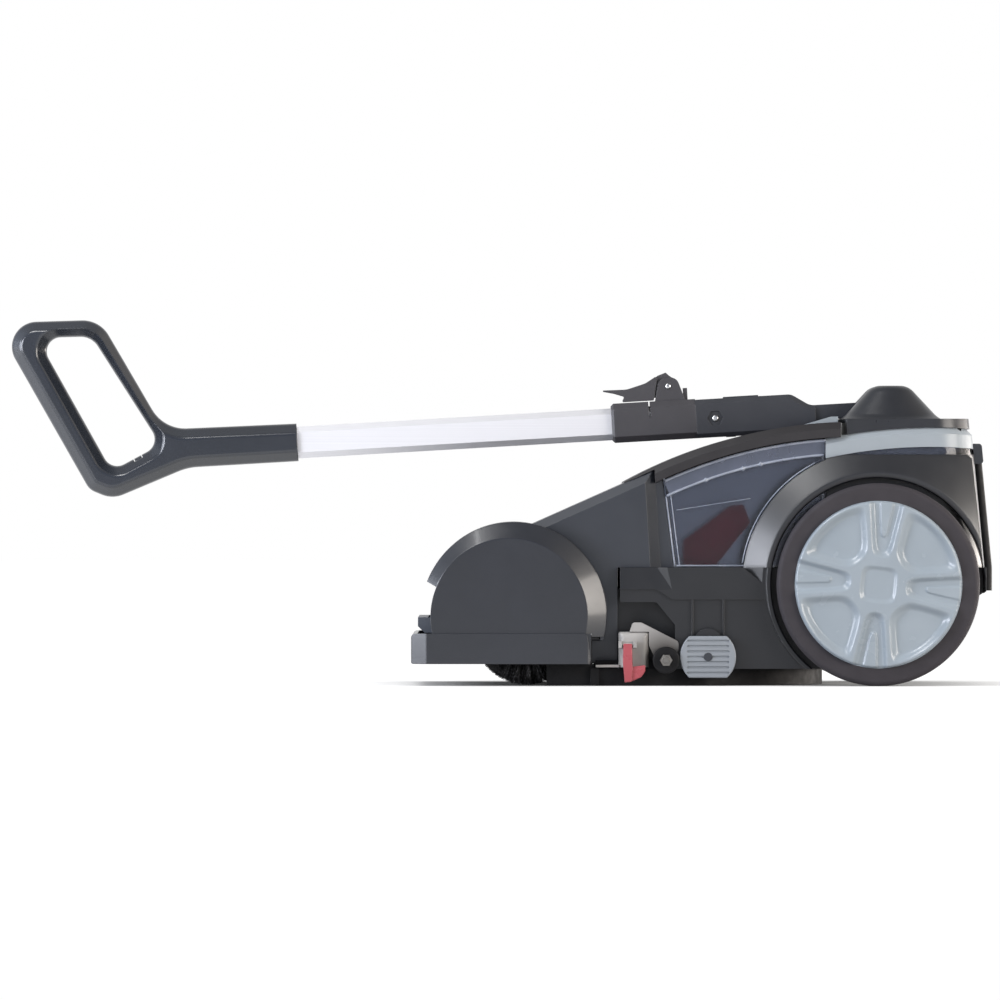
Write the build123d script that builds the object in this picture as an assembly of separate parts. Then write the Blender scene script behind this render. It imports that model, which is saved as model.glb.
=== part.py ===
from build123d import *
import os
from math import atan2, cos, degrees, hypot, radians, sin, sqrt, tan

# Compact floor scrubber dryer with its handle folded forward, in millimetres.
# X runs from the brush at the front to the wheels at the back, Y runs across and Z is up.
# Y below zero is the machine's left side. The origin is on the floor, in the middle of the
# length and of the width.

# Clearances and walls
GAP = 0.5                  # between pieces that move past each other
RUN = 0.05                 # radial running clearance of a shaft in its bore
WALL = 4.0                 # moulded covers
TANK_WALL = 3.0            # clear tank walls

# Wheels
AXLE_X = 446.0             # axle behind the middle of the length
WHEEL_R = 120.0
RIM_R = 99.0               # where the tyre sits on the rim
TYRE_WIDTH = 36.0
TYRE_OUT_Y = 208.0         # outer face of the tyre from the middle
TYRE_SHOULDER = 6.0
TREAD_GROOVE = 2.0
RIM_WALL = 6.0
RIM_WEB = 6.0
HUB_R = 19.0
AXLE_R = 8.0
BUSH_WALL = 4.0
HUB_CAP_R = 98.0
HUB_CAP_PLATE = 3.0
HUB_CAP_RISE = 4.0         # ribs above the plate
RIBS_TURN = 6.0            # degrees that the cap's pattern is turned
AXLE_NUT_R = 12.0
AXLE_NUT_T = 5.0

# Lower chassis
CHASSIS_HALF = 176.0       # outer side walls
CHASSIS_FRONT_X = 141.0
CHASSIS_TOP_Z = 140.0
LEDGE_FRONT_Z = 114.0      # underside of the ledge at its front end
LEDGE_LOW_Z = 102.0
LEDGE_PROUD = 3.0          # ledge beyond the lower side walls
LEDGE_BEVEL = 12.0
LEDGE_STEP_X = 184.5       # where the ledge steps down and out
SKIRT_FRONT_X = 206.0      # front edge of the lower side walls
SKIRT_LOW_Z = 20.0
FLOOR_LOW_Z = 60.0         # underside of the chassis floor
REAR_LOW_Z = 104.0         # underside of the tail
TAIL_FROM_AXLE = 129.0     # rear wall at its foot
TAIL_LEAN = 17.0           # how far the rear wall leans forward at its top
WELL_R = 126.0             # wheel arch
WELL_WALL_Y = 150.0        # outer face of the inner wheel well wall
ARCH_LIP = 7.0             # width of the lip round the wheel arch
ARCH_FLARE = 27.0          # width of the sloping band outside the lip
ARCH_DROP = 14.0           # how far that band falls over its width
ARCH_PROUD = 2.0           # lip beyond the chassis wall

# Body above the chassis
BODY_HALF = 150.0          # rear body and clear tank
HOOD_HALF = 160.0
HOOD_TIP_X = 20.0
HOOD_TIP_Z = 184.0
HOOD_SLOPE = 24.0          # degrees
HOOD_BACK_TOP_X = 182.0
HOOD_BACK_LOW_X = 189.0
HOOD_BEVEL = 10.0
HOOD_PILLAR = 12.0
HOOD_LEG_X = 138.0
HOOD_LEG_Z = 27.0
TANK_FRONT_X = 205.0       # at its foot
TANK_FRONT_TOP_X = 190.0
TANK_BACK_FROM_AXLE = -62.0
TANK_HALF = 147.0
TANK_RIM = 20.0            # height of the thick rim band
TANK_RIM_PROUD = 1.5
LID_HALF = 157.0
LID_R = 574.0              # crown of the lid, seen from the side
LID_CROWN_Z = 313.0
LID_CROWN_FROM_AXLE = -23.0
LID_DEPTH = 18.0
LID_FRONT_X = 146.0
LID_BACK_FROM_AXLE = -43.0
LID_BEVEL = 8.0
SEAL_T = 2.5
CHANNEL_HALF = 30.0        # groove in the lid that the folded handle lies in
CHANNEL_GAP = 1.5          # between its floor and the handle
SHOULDER_R = 606.0         # top edge of the grey band, seen from the side
SHOULDER_CROWN_Z = 306.0
SHOULDER_CROWN_FROM_AXLE = 64.0
TRIM_DEPTH = 23.0
TRIM_HALF = 154.0
TRIM_FRONT_FROM_AXLE = -61.0
TRIM_BEVEL = 7.0
STRIP_LOW_Z = 274.0        # lower edge of the clear strip below the grey band
STRIP_HALF = 152.0
COVER_FROM_AXLE = -36.0
COVER_TOP_Z = 316.5
CORNER_R = 42.0            # rear corners in plan

# Brush deck
DECK_X = 15.0              # middle of the rounded brush deck
DECK_Z = 84.0
DECK_R = 110.0             # outside of the deck's round cover
DECK_HALF = 186.0          # ends of the round cover
DECK_END_R = 93.0          # flat end faces
DECK_END_X = 9.5           # middle of the flat end faces
DECK_END_Z = 82.0
DECK_END_Y = 200.0
DECK_WALL_Y = 174.0        # outer face of the wall that carries the brush
DECK_OPEN_Z = 123.5        # front edge of the round cover
DECK_OPEN_SLOPE = 30.0     # degrees that this edge falls towards the back
DECK_LOW_Z = 27.0
SKIRT_HALF = 205.0
SKIRT_X = 106.5            # half length of the skirt
SKIRT_Z = 26.0
SKIRT_TOP_Z = 62.0
SKIRT_T = 5.0
SKIRT_FACET = 18.0         # bevel at the skirt's front corners
BRUSH_X = 30.0
BRUSH_R = 64.0             # tips of the bristles
BRUSH_CORE_R = 38.0
BRUSH_HALF = 165.0
BRUSH_AXLE_R = 8.0
TUFT = 3.4                 # side of one tuft of bristles
TUFT_ROWS = 20             # along the brush
TUFTS_ROUND = 18           # round the brush
TUFT_SWEEP = 80.0          # degrees that the rows turn between the middle and an end
MOTOR_X = -22.0
MOTOR_Z = 148.0
MOTOR_R = 25.0
MOTOR_LENGTH = 150.0
BRUSH_PULLEY_R = 22.0
MOTOR_PULLEY_R = 13.0
PULLEY_WIDTH = 12.0
BELT_T = 2.5
HOPPER_FRONT_X = -98.5
HOPPER_BACK_X = -38.0
HOPPER_TOP_Z = 81.0
HOPPER_HALF = 163.0

# Squeegee, which lifts straight up with its carriages
SQUEEGEE_X = 130.0         # middle of the half oval in plan
SQUEEGEE_R = 168.0         # half width of the holder's middle line
SQUEEGEE_DEEP = 80.0       # how much longer than wide that half oval is
SQUEEGEE_LEG_X = 112.0     # front ends of its straight legs
HOLDER_WIDTH = 15.0
HOLDER_LOW_Z = 20.0
HOLDER_TOP_Z = 30.0
BLADE_T = 3.5
BLADE_LOW_Z = 0.0          # blade tips on the floor
BLADE_IN = 6.0             # how far the blades reach into the holder
LIFT_ROD_R = 5.0
LIFT_ROD_TOP_Z = 104.0
LIFT_ROD_ANGLE = 47.0      # degrees from the middle line, either side
CARRIAGE_X = 139.0
CARRIAGE_BACK_X = 175.0
CARRIAGE_OUT_Y = 184.0
CARRIAGE_LOW_Z = 22.0
CARRIAGE_TOP_Z = 64.0
ARM_Y = 177.0
ARM_T = 4.0
ROLLER_X = 195.3
ROLLER_Z = 30.5
ROLLER_R = 16.0
ROLLER_WIDTH = 10.5
ROLLER_BOLT_R = 4.0
CLIP_X = 143.5
CLIP_WIDTH = 12.5
CLIP_FOOT = 27.5
CLIP_LOW_Z = 4.0
CLIP_FOOT_Z = 21.0
CLIP_HINGE_Z = 49.0
CLIP_HINGE_Y = 188.8
CLIP_T = 4.0
CLIP_PIN_R = 2.0
SPLASH_X = 54.0            # front end of the splash strips beside the brush
SPLASH_T = 5.0

# Pedal that lifts the squeegee
PEDAL_X = 245.0
PEDAL_Z = 34.3
PEDAL_R = 33.2
PEDAL_HEIGHT = 49.4
PEDAL_T = 8.0
PEDAL_Y = 180.0
PEDAL_GROOVES = 7
PEDAL_PITCH = 6.3
PEDAL_TRAVEL = 28.0
STEM_WIDTH = 16.0
STEM_T = 4.5
STEM_FLANGE = 4.0          # flange inside the wall beyond the stem
SLOT_LOW_Z = 24.0
CARRIER_R = 16.8           # round end of the carrier behind the pad
CARRIER_Z = 51.3
RIB_T = 2.2                # guide ribs either side of the carrier

# Folding handle, drawn level with its hinge at the origin and then tipped down
PIVOT_FROM_AXLE = 22.0
PIVOT_Z = 330.0
HANDLE_DROP = 3.31         # degrees below level when folded
TUBE_HEIGHT = 38.0
TUBE_WIDTH = 31.0
TUBE_CHAMFER = 7.0
TUBE_WALL = 2.5
TUBE_IN = 119.5            # inner end of the tube from the hinge
TUBE_OUT = 783.0           # outer end of the tube
EXTEND = 80.0              # travel of the tube
SLIDE = 0.3                # clearance round the sliding tube
YOKE_FRONT = 235.0
YOKE_NECK = 112.0          # where the wide part ends
YOKE_HALF = 24.5
YOKE_TOP = 23.5
YOKE_LOW = 22.5
NECK_HALF = 20.0
NECK_TOP = 9.0
KNUCKLE_R = 13.0
PIN_R = 6.0
YOKE_BOLT = 212.0
YOKE_BOLT_R = 4.0
POST = 194.0
POST_R = 6.0
POST_LOW = 23.3
CLAMP_OUT = 336.0
CLAMP_HALF = 24.5
CLAMP_SLIT = 290.0
EAR = 266.0                # lever pin from the hinge
EAR_Z = 41.4
EAR_R = 10.5
EAR_IN_Y = 9.0
EAR_T = 4.0
LEVER_PIN_R = 2.5
LEVER_TIP = 344.0
DOME_FROM_AXLE = 19.0
DOME_LENGTH = 122.0
DOME_WIDTH = 86.0
DOME_HEIGHT = 40.0
DOME_IN_Y = 23.0
GRIP_HALF = 21.0
GRIP_IN = 713.0            # inner end of the grip's neck
GRIP_LENGTH = 354.0        # from there to the far end of the loop
GRIP_NECK = 22.5
GRIP_FLAT = 6.0            # half width of the flat round the loop's outside
GRIP_SLOPE = 38.0          # degrees of the loop's sloping sides
GRIP_RIDGE_R = 5.0
GRIP_EDGE_R = 10.0
BUTTON_TILT = 24.8         # degrees of the bar that the button sits in
BUTTON_WIDTH = 9.0
BUTTON_DEPTH = 14.0
BUTTON_TRAVEL = 3.0
BUTTON_GAP = 1.2

# Pieces inside and at the back
BATTERY = (130.0, 180.0, 60.0)
BATTERY_FROM_AXLE = 32.0
VACUUM_R = 48.0
VACUUM_FROM_AXLE = -101.0
VACUUM_HEIGHT = 66.0
BASKET_LENGTH = 80.0
BASKET_HEIGHT = 72.0
GRIP_BAR_Z = 275.0         # carry bar across the back
GRIP_BAR_HEIGHT = 24.0
GRIP_BAR_OUT = 11.0
GRIP_BAR_HALF = 105.0
PIPE_R = 5.3
PIPE_Y = -60.0
PIPE_GAP = 0.15
PIPE_LOW_Z = 112.0
LATCH_FROM_AXLE = -86.0
LATCH_LENGTH = 42.0
LATCH_TOP_Z = 319.5
LATCH_HALF = 70.0

# Places behind and before the axle
TAIL_X = AXLE_X + TAIL_FROM_AXLE
TAIL_TOP_X = TAIL_X - TAIL_LEAN
TANK_BACK_X = AXLE_X + TANK_BACK_FROM_AXLE
LID_CENTRE = (AXLE_X + LID_CROWN_FROM_AXLE, LID_CROWN_Z - LID_R)
LID_BACK_X = AXLE_X + LID_BACK_FROM_AXLE
SHOULDER_CENTRE = (AXLE_X + SHOULDER_CROWN_FROM_AXLE, SHOULDER_CROWN_Z - SHOULDER_R)
TRIM_FRONT_X = AXLE_X + TRIM_FRONT_FROM_AXLE
COVER_X = AXLE_X + COVER_FROM_AXLE
PIVOT_X = AXLE_X + PIVOT_FROM_AXLE
DOME_X = AXLE_X + DOME_FROM_AXLE
BATTERY_X = AXLE_X + BATTERY_FROM_AXLE
VACUUM_X = AXLE_X + VACUUM_FROM_AXLE
LATCH_X = AXLE_X + LATCH_FROM_AXLE
LATCH_BACK_X = LATCH_X + LATCH_LENGTH


def side_plane(y):
    """Plane at that Y with local x and y along the model's X and Z, facing -Y."""
    return Plane(origin=(0, y, 0), x_dir=(1, 0, 0), z_dir=(0, -1, 0))


def prism(face, y_low, y_high):
    """A face drawn in X and Z, carried across from y_low to y_high."""
    return extrude(side_plane(y_high) * face, y_high - y_low)


def across(face, half):
    """A face drawn in X and Z, carried across the machine by half each way."""
    return prism(face, -half, half)


def plate(face, z_low, z_high):
    """A face drawn in X and Y, carried up from z_low to z_high."""
    return extrude(Pos(0, 0, z_low) * face, z_high - z_low)


def box(x_low, x_high, y_low, y_high, z_low, z_high):
    """A block between two corners."""
    return Pos((x_low + x_high) / 2, (y_low + y_high) / 2, (z_low + z_high) / 2) * Box(
        x_high - x_low, y_high - y_low, z_high - z_low
    )


def rectangle(x_low, x_high, z_low, z_high):
    """A rectangle between two corners, drawn in two directions."""
    return Pos((x_low + x_high) / 2, (z_low + z_high) / 2) * Rectangle(x_high - x_low, z_high - z_low)


def outline(*corners):
    """A closed outline through (x, z, radius) corners, each rounded by its radius."""
    points = [(x, z) for x, z, _ in corners]
    return make_face(FilletPolyline(*points, radius=[r for _, _, r in corners], close=True))


def disc(centre, radius):
    """A round face about a point."""
    return Pos(*centre) * Circle(radius)


def rod(x, z, radius, y_low, y_high):
    """A round bar along Y."""
    return prism(disc((x, z), radius), y_low, y_high)


def mirrored(part):
    """The same piece on the other side of the machine."""
    return mirror(part, about=Plane.XZ)


def slanted(part, half, corner):
    """Edges of a part that stand at its rear corners."""
    return [
        e for e in part.edges()
        if abs(abs(e.center().Y) - half) < 0.01 and e.center().X > corner and e.length > 1
        and abs((e @ 0).Y - (e @ 1).Y) < 0.01 and abs((e @ 0).Z - (e @ 1).Z) > abs((e @ 0).X - (e @ 1).X)
    ]


def folded(part):
    """A handle piece drawn level at the origin, put on the hinge and tipped down."""
    return Pos(PIVOT_X, 0, PIVOT_Z) * Rot(0, -HANDLE_DROP, 0) * part


def tail_x(z):
    """X of the sloping rear wall at a height."""
    share = (z - CHASSIS_TOP_Z) / (COVER_TOP_Z - CHASSIS_TOP_Z)
    return TAIL_X + (TAIL_TOP_X - TAIL_X) * share


def hood_top_z(x):
    """Height of the sloping top of the front hood."""
    return HOOD_TIP_Z + (x - HOOD_TIP_X) * tan(radians(HOOD_SLOPE))


def turned(*corners):
    """A piece turned about local Z from an outline of (radius, z, corner radius)."""
    return revolve(side_plane(0) * outline(*corners), Axis.Z)


def bored(radius, z_low, z_high):
    """A round bar on local Z, to cut a bore with."""
    return plate(Circle(radius), z_low, z_high)


# Wheels
WHEEL_IN_Y = TYRE_OUT_Y - TYRE_WIDTH
CAP_Z = TYRE_WIDTH                      # local height of the hub cap's back
CAP_TOP_Z = CAP_Z + HUB_CAP_PLATE + HUB_CAP_RISE
HALF_WIDTH = WHEEL_IN_Y + CAP_TOP_Z
NUT_Z = TYRE_WIDTH - AXLE_NUT_T - 2.0
WEB_Z = TYRE_WIDTH / 2 - RIM_WEB / 2


def make_tyre():
    """Solid tyre with two grooves round its tread."""
    part = turned(
        (RIM_R, 0, 0), (WHEEL_R, 0, TYRE_SHOULDER),
        (WHEEL_R, TYRE_WIDTH, TYRE_SHOULDER), (RIM_R, TYRE_WIDTH, 0),
    )
    for share in (1 / 3, 2 / 3):
        mid = TYRE_WIDTH * share
        part -= turned(
            (WHEEL_R - TREAD_GROOVE, mid - TREAD_GROOVE, 0), (WHEEL_R + 1, mid - TREAD_GROOVE, 0),
            (WHEEL_R + 1, mid + TREAD_GROOVE, 0), (WHEEL_R - TREAD_GROOVE, mid + TREAD_GROOVE, 0),
        )
    return part


def make_rim():
    """Wheel centre with a web, six lightening holes and a hub."""
    part = turned(
        (RIM_R - RIM_WALL, 0, 0), (RIM_R, 0, 0),
        (RIM_R, TYRE_WIDTH, 0), (RIM_R - RIM_WALL, TYRE_WIDTH, 0),
    )
    part += plate(Circle(RIM_R - RIM_WALL / 2), WEB_Z, WEB_Z + RIM_WEB)
    part += plate(Circle(HUB_R), 0, NUT_Z - GAP)
    for spot in PolarLocations((HUB_R + RIM_R - RIM_WALL) / 2, 6):
        part -= spot * bored((RIM_R - RIM_WALL - HUB_R) / 4, WEB_Z - 1, WEB_Z + RIM_WEB + 1)
    return part - bored(AXLE_R + BUSH_WALL, -1, TYRE_WIDTH)


def make_bush():
    """Plain bush pressed into the hub."""
    return bored(AXLE_R + BUSH_WALL, 0, NUT_Z - GAP) - bored(AXLE_R + RUN, -1, TYRE_WIDTH)


def make_hub_cap():
    """Hub cap with four pairs of ribs, a tongue between each pair and a square centre."""
    rim = HUB_CAP_R
    part = turned(
        (0, CAP_Z, 0), (rim, CAP_Z, 0), (rim, CAP_Z + HUB_CAP_PLATE, 1),
        (rim - 3, CAP_TOP_Z, 2), (0, CAP_TOP_Z, 0),
    )
    inside = Circle(0.9 * rim)
    slot = make_face(Polyline((0.35 * rim, 0.1 * rim), (1.1 * rim, 0.215 * rim), (1.1 * rim, -0.215 * rim),
                              (0.35 * rim, -0.1 * rim), close=True))
    tongue = make_face(Polyline((0.58 * rim, 0.05 * rim), (1.1 * rim, 0.1 * rim), (1.1 * rim, -0.1 * rim),
                                (0.58 * rim, -0.05 * rim), close=True))
    bay = make_face(Polyline((0.36 * rim, 0.19 * rim), (1.12 * rim, 0.307 * rim), (1.12 * rim, 1.12 * rim),
                             (0.307 * rim, 1.12 * rim), (0.19 * rim, 0.36 * rim), close=True))
    slot = fillet(slot.vertices(), 0.06 * rim) - fillet(tongue.vertices(), 0.04 * rim)
    bay = bay & inside
    bay = fillet(bay.vertices(), 0.07 * rim)
    centre = RectangleRounded(0.43 * rim, 0.43 * rim, 0.08 * rim)
    for quarter in range(4):
        turn = Rot(0, 0, 90 * quarter + RIBS_TURN)
        for face in (bay, slot):
            top = Pos(0, 0, CAP_TOP_Z) * (turn * face)
            part -= extrude(top, HUB_CAP_RISE, dir=(0, 0, -1), taper=20)
    top = Pos(0, 0, CAP_TOP_Z) * (Rot(0, 0, RIBS_TURN) * centre)
    return part - extrude(top, HUB_CAP_RISE / 2, dir=(0, 0, -1), taper=20)


def wheel_place(side):
    """Where a wheel is built: local Z points outward from the tyre's inner face."""
    return Plane(origin=(AXLE_X, side * WHEEL_IN_Y, WHEEL_R), x_dir=(-side, 0, 0), z_dir=(0, side, 0))


# Chassis
SLOT_TOP_Z = SLOT_LOW_Z + GAP + STEM_T + PEDAL_TRAVEL + GAP
LOWER_HALF = CHASSIS_HALF - LEDGE_PROUD
ARCH_LIP_R = WELL_R + ARCH_LIP
ARCH_R = ARCH_LIP_R + ARCH_FLARE
BOSS_R = HUB_R
TRAY_WALL = 2.5 * WALL


def lift_rod_spots():
    """Where the squeegee's two lifting rods stand, in plan."""
    turn = radians(LIFT_ROD_ANGLE)
    x = SQUEEGEE_X + (SQUEEGEE_R + SQUEEGEE_DEEP) * cos(turn)
    return [(x, side * SQUEEGEE_R * sin(turn)) for side in (-1, 1)]


def make_chassis():
    """Open tray that carries the axle, with a ledge in front and the wheel wells at the back."""
    side = outline(
        (CHASSIS_FRONT_X, LEDGE_LOW_Z - LEDGE_PROUD, 2), (SKIRT_FRONT_X - 22, LEDGE_LOW_Z - LEDGE_PROUD, 4),
        (SKIRT_FRONT_X, SKIRT_LOW_Z + 52, 3), (SKIRT_FRONT_X, SKIRT_LOW_Z, 2),
        (AXLE_X - 50, SKIRT_LOW_Z, 10), (TAIL_X - 12, REAR_LOW_Z, 6), (TAIL_X, REAR_LOW_Z + 8, 4),
        (TAIL_X, CHASSIS_TOP_Z, 0), (CHASSIS_FRONT_X, CHASSIS_TOP_Z, 0),
    )
    part = ledge_corner(across(side, CHASSIS_HALF))
    low, high = FLOOR_LOW_Z + WALL, CHASSIS_TOP_Z + 1
    front = SKIRT_FRONT_X + TRAY_WALL
    wide, narrow = LOWER_HALF - WALL, WELL_WALL_Y - WALL
    arch_x = AXLE_X - ARCH_LIP_R
    bulkhead = AXLE_X - BOSS_R - 3 * WALL
    part -= box(CHASSIS_FRONT_X + WALL, bulkhead, -narrow, narrow, LEDGE_FRONT_Z + WALL, high)
    part -= box(front, bulkhead, -narrow, narrow, low, high)
    part -= box(bulkhead + WALL, TAIL_X - WALL, -narrow, narrow, 0, CHASSIS_TOP_Z - WALL)
    part -= box(front, arch_x - WALL, -wide, wide, low, high)
    part -= box(CHASSIS_FRONT_X - 1, arch_x - WALL, -wide, wide, 0, FLOOR_LOW_Z)
    part -= box(CHASSIS_FRONT_X - 1, AXLE_X - 54, -narrow, narrow, 0, FLOOR_LOW_Z)
    part -= box(CHASSIS_FRONT_X - 1, SKIRT_FRONT_X + WALL, -wide, wide, 0, LEDGE_LOW_Z)
    cheek = rectangle(HOOD_LEG_X - 2 * WALL, front + WALL, HOLDER_LOW_Z / 2, LEDGE_FRONT_Z + 1)
    for side_y in (-1, 1):
        part -= prism(below_ledge(), *sorted((side_y * LOWER_HALF, side_y * (CHASSIS_HALF + 1))))
        part += prism(cheek, *sorted((side_y * (narrow - WALL), side_y * narrow)))
        lip = arch_ring(side_y) & across(side, CHASSIS_HALF + ARCH_PROUD)
        tip = flare_tip() & rectangle(0, AXLE_X, 0, CHASSIS_TOP_Z)
        part += prism(tip, *sorted((side_y * (narrow - 1), side_y * CHASSIS_HALF)))
        part = part - (flare_cut(side_y) & across(flare_tip(), SKIRT_HALF)) + lip
        low_y, high_y = sorted((side_y * WELL_WALL_Y, side_y * (SKIRT_HALF + 1)))
        part -= rod(AXLE_X, WHEEL_R, WELL_R, low_y, high_y)
        low_y, high_y = sorted((side_y * (narrow - 1), side_y * (WHEEL_IN_Y - GAP)))
        part += rod(AXLE_X, WHEEL_R, BOSS_R, low_y, high_y)
    part -= rod(AXLE_X, WHEEL_R, AXLE_R, -CHASSIS_HALF, CHASSIS_HALF)
    for x, y in lift_rod_spots():
        part += Pos(x, y, 0) * bored(LIFT_ROD_R + WALL, FLOOR_LOW_Z, FLOOR_LOW_Z + 5 * WALL)
        part -= Pos(x, y, 0) * bored(LIFT_ROD_R + RUN, FLOOR_LOW_Z - 1, FLOOR_LOW_Z + 6 * WALL)
    half = STEM_WIDTH / 2 + GAP
    slot = rectangle(PEDAL_X - half, PEDAL_X + half, SLOT_LOW_Z, SLOT_TOP_Z)
    part -= prism(slot, -CHASSIS_HALF - 1, -wide + 1)
    for x in (PEDAL_X - CARRIER_R - GAP - RIB_T, PEDAL_X + CARRIER_R + GAP):
        rib = rectangle(x, x + RIB_T, SLOT_LOW_Z, LEDGE_LOW_Z)
        part += prism(rib, -CHASSIS_HALF, -LOWER_HALF)
    return part


def below_ledge():
    """Side walls below the ledge, seen from the side."""
    return make_face(Polyline(
        (0, 0), (0, LEDGE_FRONT_Z), (LEDGE_STEP_X, LEDGE_FRONT_Z),
        (LEDGE_STEP_X + 1.5 * LEDGE_BEVEL, LEDGE_LOW_Z), (AXLE_X, LEDGE_LOW_Z), (AXLE_X, 0), close=True,
    ))


def ledge_corner(part):
    """Ledge with its front end leaning in towards the top, and a bevel that tapers to a point."""
    for side in (-1, 1):
        low = ledge_recess(side, 0.1, LEDGE_STEP_X + 1.5 * LEDGE_BEVEL, LEDGE_FRONT_Z)
        high = ledge_recess(side, LEDGE_BEVEL / 2, LEDGE_STEP_X, CHASSIS_TOP_Z + 1)
        part -= loft([low, high], ruled=True)
    return part


def ledge_recess(side, depth, step, z):
    """Cut beside the front end of the ledge at a height, seen from above."""
    front, inner, outer = CHASSIS_FRONT_X - 1, side * (CHASSIS_HALF - depth), side * (CHASSIS_HALF + 1)
    return Pos(0, 0, z) * make_face(Polyline(
        (front, inner), (step, inner), (step + 2 * depth, side * CHASSIS_HALF), (step + 2 * depth, outer),
        (front, outer), close=True,
    ))


def make_axle():
    """Steel axle from end to end."""
    end = WHEEL_IN_Y + NUT_Z + AXLE_NUT_T
    return rod(AXLE_X, WHEEL_R, AXLE_R, -end, end)


def make_axle_nut():
    """Nut that keeps a wheel on the axle."""
    return plate(RegularPolygon(AXLE_NUT_R, 6), NUT_Z, NUT_Z + AXLE_NUT_T) - bored(AXLE_R, 0, TYRE_WIDTH)


def on_axle(part, side):
    """A piece turned about local Z, put on the axle's line with local Z outward."""
    return Plane(origin=(AXLE_X, 0, WHEEL_R), x_dir=(-side, 0, 0), z_dir=(0, side, 0)) * part


def arch_ring(side):
    """Lip round a wheel arch."""
    edge = CHASSIS_HALF + ARCH_PROUD
    ring = turned(
        (WELL_R, WELL_WALL_Y, 0), (WELL_R, edge, 2), (ARCH_LIP_R, edge, 2), (ARCH_LIP_R, WELL_WALL_Y, 0),
    )
    return on_axle(ring, side)


def flare_cut(side):
    """What lies outside the sloping band round a wheel arch."""
    edge = CHASSIS_HALF + ARCH_PROUD
    return on_axle(turned(
        (ARCH_LIP_R, edge, 0), (ARCH_R, edge - ARCH_DROP, 0),
        (ARCH_R, edge + 1, 0), (ARCH_LIP_R, edge + 1, 0),
    ), side)


def flare_tip():
    """The pointed front end of the sloping band, seen from the side."""
    x, z = AXLE_X - ARCH_R, CHASSIS_TOP_Z
    well = AXLE_X - WELL_R
    return make_face(Polyline((x, z + 1), (well, z + 1), (well, z - ARCH_FLARE), close=True))


def make_arch(side):
    """Flared band over one wheel, cut off under the clear strip."""
    edge = CHASSIS_HALF + ARCH_PROUD
    ring = on_axle(turned(
        (WELL_R, WELL_WALL_Y - WALL, 0), (WELL_R, edge, 2), (ARCH_LIP_R, edge, 2),
        (ARCH_R + ARCH_FLARE, edge - 2 * ARCH_DROP, 0), (ARCH_R + ARCH_FLARE, WELL_WALL_Y - WALL, 0),
    ), side)
    keep = disc((AXLE_X, WHEEL_R), ARCH_R) + rectangle(TRIM_FRONT_X, 2 * TAIL_X, 0, COVER_TOP_Z)
    keep = keep & tail(WALL) & below_strip()
    return ring & across(keep, SKIRT_HALF)


def below_strip():
    """Room for the rear body, up to the clear strip or the grey band, seen from the side."""
    return rectangle(0, 2 * TAIL_X, CHASSIS_TOP_Z, STRIP_LOW_Z) & disc(SHOULDER_CENTRE, STRIP_TOP_R)


# Outlines seen from the side that several covers share
STRIP_TOP_R = SHOULDER_R - TRIM_DEPTH
LID_LOW_R = LID_R - LID_DEPTH
TANK_TOP_R = LID_LOW_R - SEAL_T


def hood_outline(inset):
    """Front hood seen from the side, drawn in by an inset."""
    slope = radians(HOOD_SLOPE)
    drop = inset / cos(slope)
    top = make_face(Polyline(
        (HOOD_TIP_X, HOOD_TIP_Z - drop), (HOOD_BACK_TOP_X, hood_top_z(HOOD_BACK_TOP_X) - drop),
        (HOOD_BACK_LOW_X, CHASSIS_TOP_Z), (HOOD_LEG_X - inset, CHASSIS_TOP_Z),
        (HOOD_LEG_X - inset, HOOD_LEG_Z), (DECK_X + 0.5 * DECK_R, HOOD_LEG_Z), close=True,
    ))
    return top - disc((DECK_X, DECK_Z), DECK_R + inset)


def lid_outline():
    """Tank lid seen from the side, down to its seal and clear of the hood."""
    crown = disc(LID_CENTRE, LID_R) - disc(LID_CENTRE, LID_LOW_R)
    crown = crown & rectangle(LID_FRONT_X, LID_BACK_X, CHASSIS_TOP_Z, COVER_TOP_Z)
    return crown - hood_outline(0)


def make_hood():
    """Sloping front hood, open to the back and below."""
    part = across(hood_outline(0), HOOD_HALF)
    top = [
        e for e in part.edges()
        if abs(abs(e.center().Y) - HOOD_HALF) < 0.01 and abs(e.center().Z - hood_top_z(e.center().X)) < 0.5
    ]
    part = chamfer(top, HOOD_BEVEL)
    rise = hood_top_z(HOOD_BACK_TOP_X) - CHASSIS_TOP_Z
    lean = degrees(atan2(HOOD_BACK_LOW_X - HOOD_BACK_TOP_X, rise))
    reach = 4 * HOOD_PILLAR
    for side in (-1, 1):
        corner = make_face(Polyline(
            (reach, side * (HOOD_HALF - HOOD_PILLAR - reach)), (reach, side * (HOOD_HALF + reach)),
            (-HOOD_PILLAR - reach, side * (HOOD_HALF + reach)), close=True,
        ))
        part -= Pos(HOOD_BACK_LOW_X, 0, CHASSIS_TOP_Z) * Rot(0, -lean, 0) * extrude(corner, 1.5 * rise)
    hollow = hood_outline(WALL) - rectangle(0, HOOD_LEG_X, 0, CHASSIS_TOP_Z)
    part -= across(hollow, HOOD_HALF - HOOD_PILLAR - WALL)
    block = rectangle(SKIRT_X + 2 * GAP, HOOD_LEG_X, HOOD_LEG_Z, 2 * DECK_LOW_Z - GAP)
    part += across(block, HOOD_HALF)
    legs = rectangle(SKIRT_X - WALL, HOOD_LEG_X + WALL, 0, CHASSIS_TOP_Z - WALL)
    part -= across(legs, HOOD_HALF - 3 * WALL)
    seam = behind_hood() & disc(LID_CENTRE, LID_LOW_R - GAP)
    inner = TANK_HALF - 2 * WALL
    for y in (-TANK_HALF, inner):
        part += prism(seam, y, y + 2 * WALL)
    panel = seam - Pos(2 * WALL, 0) * behind_hood()
    return part + across(panel, inner)


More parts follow.
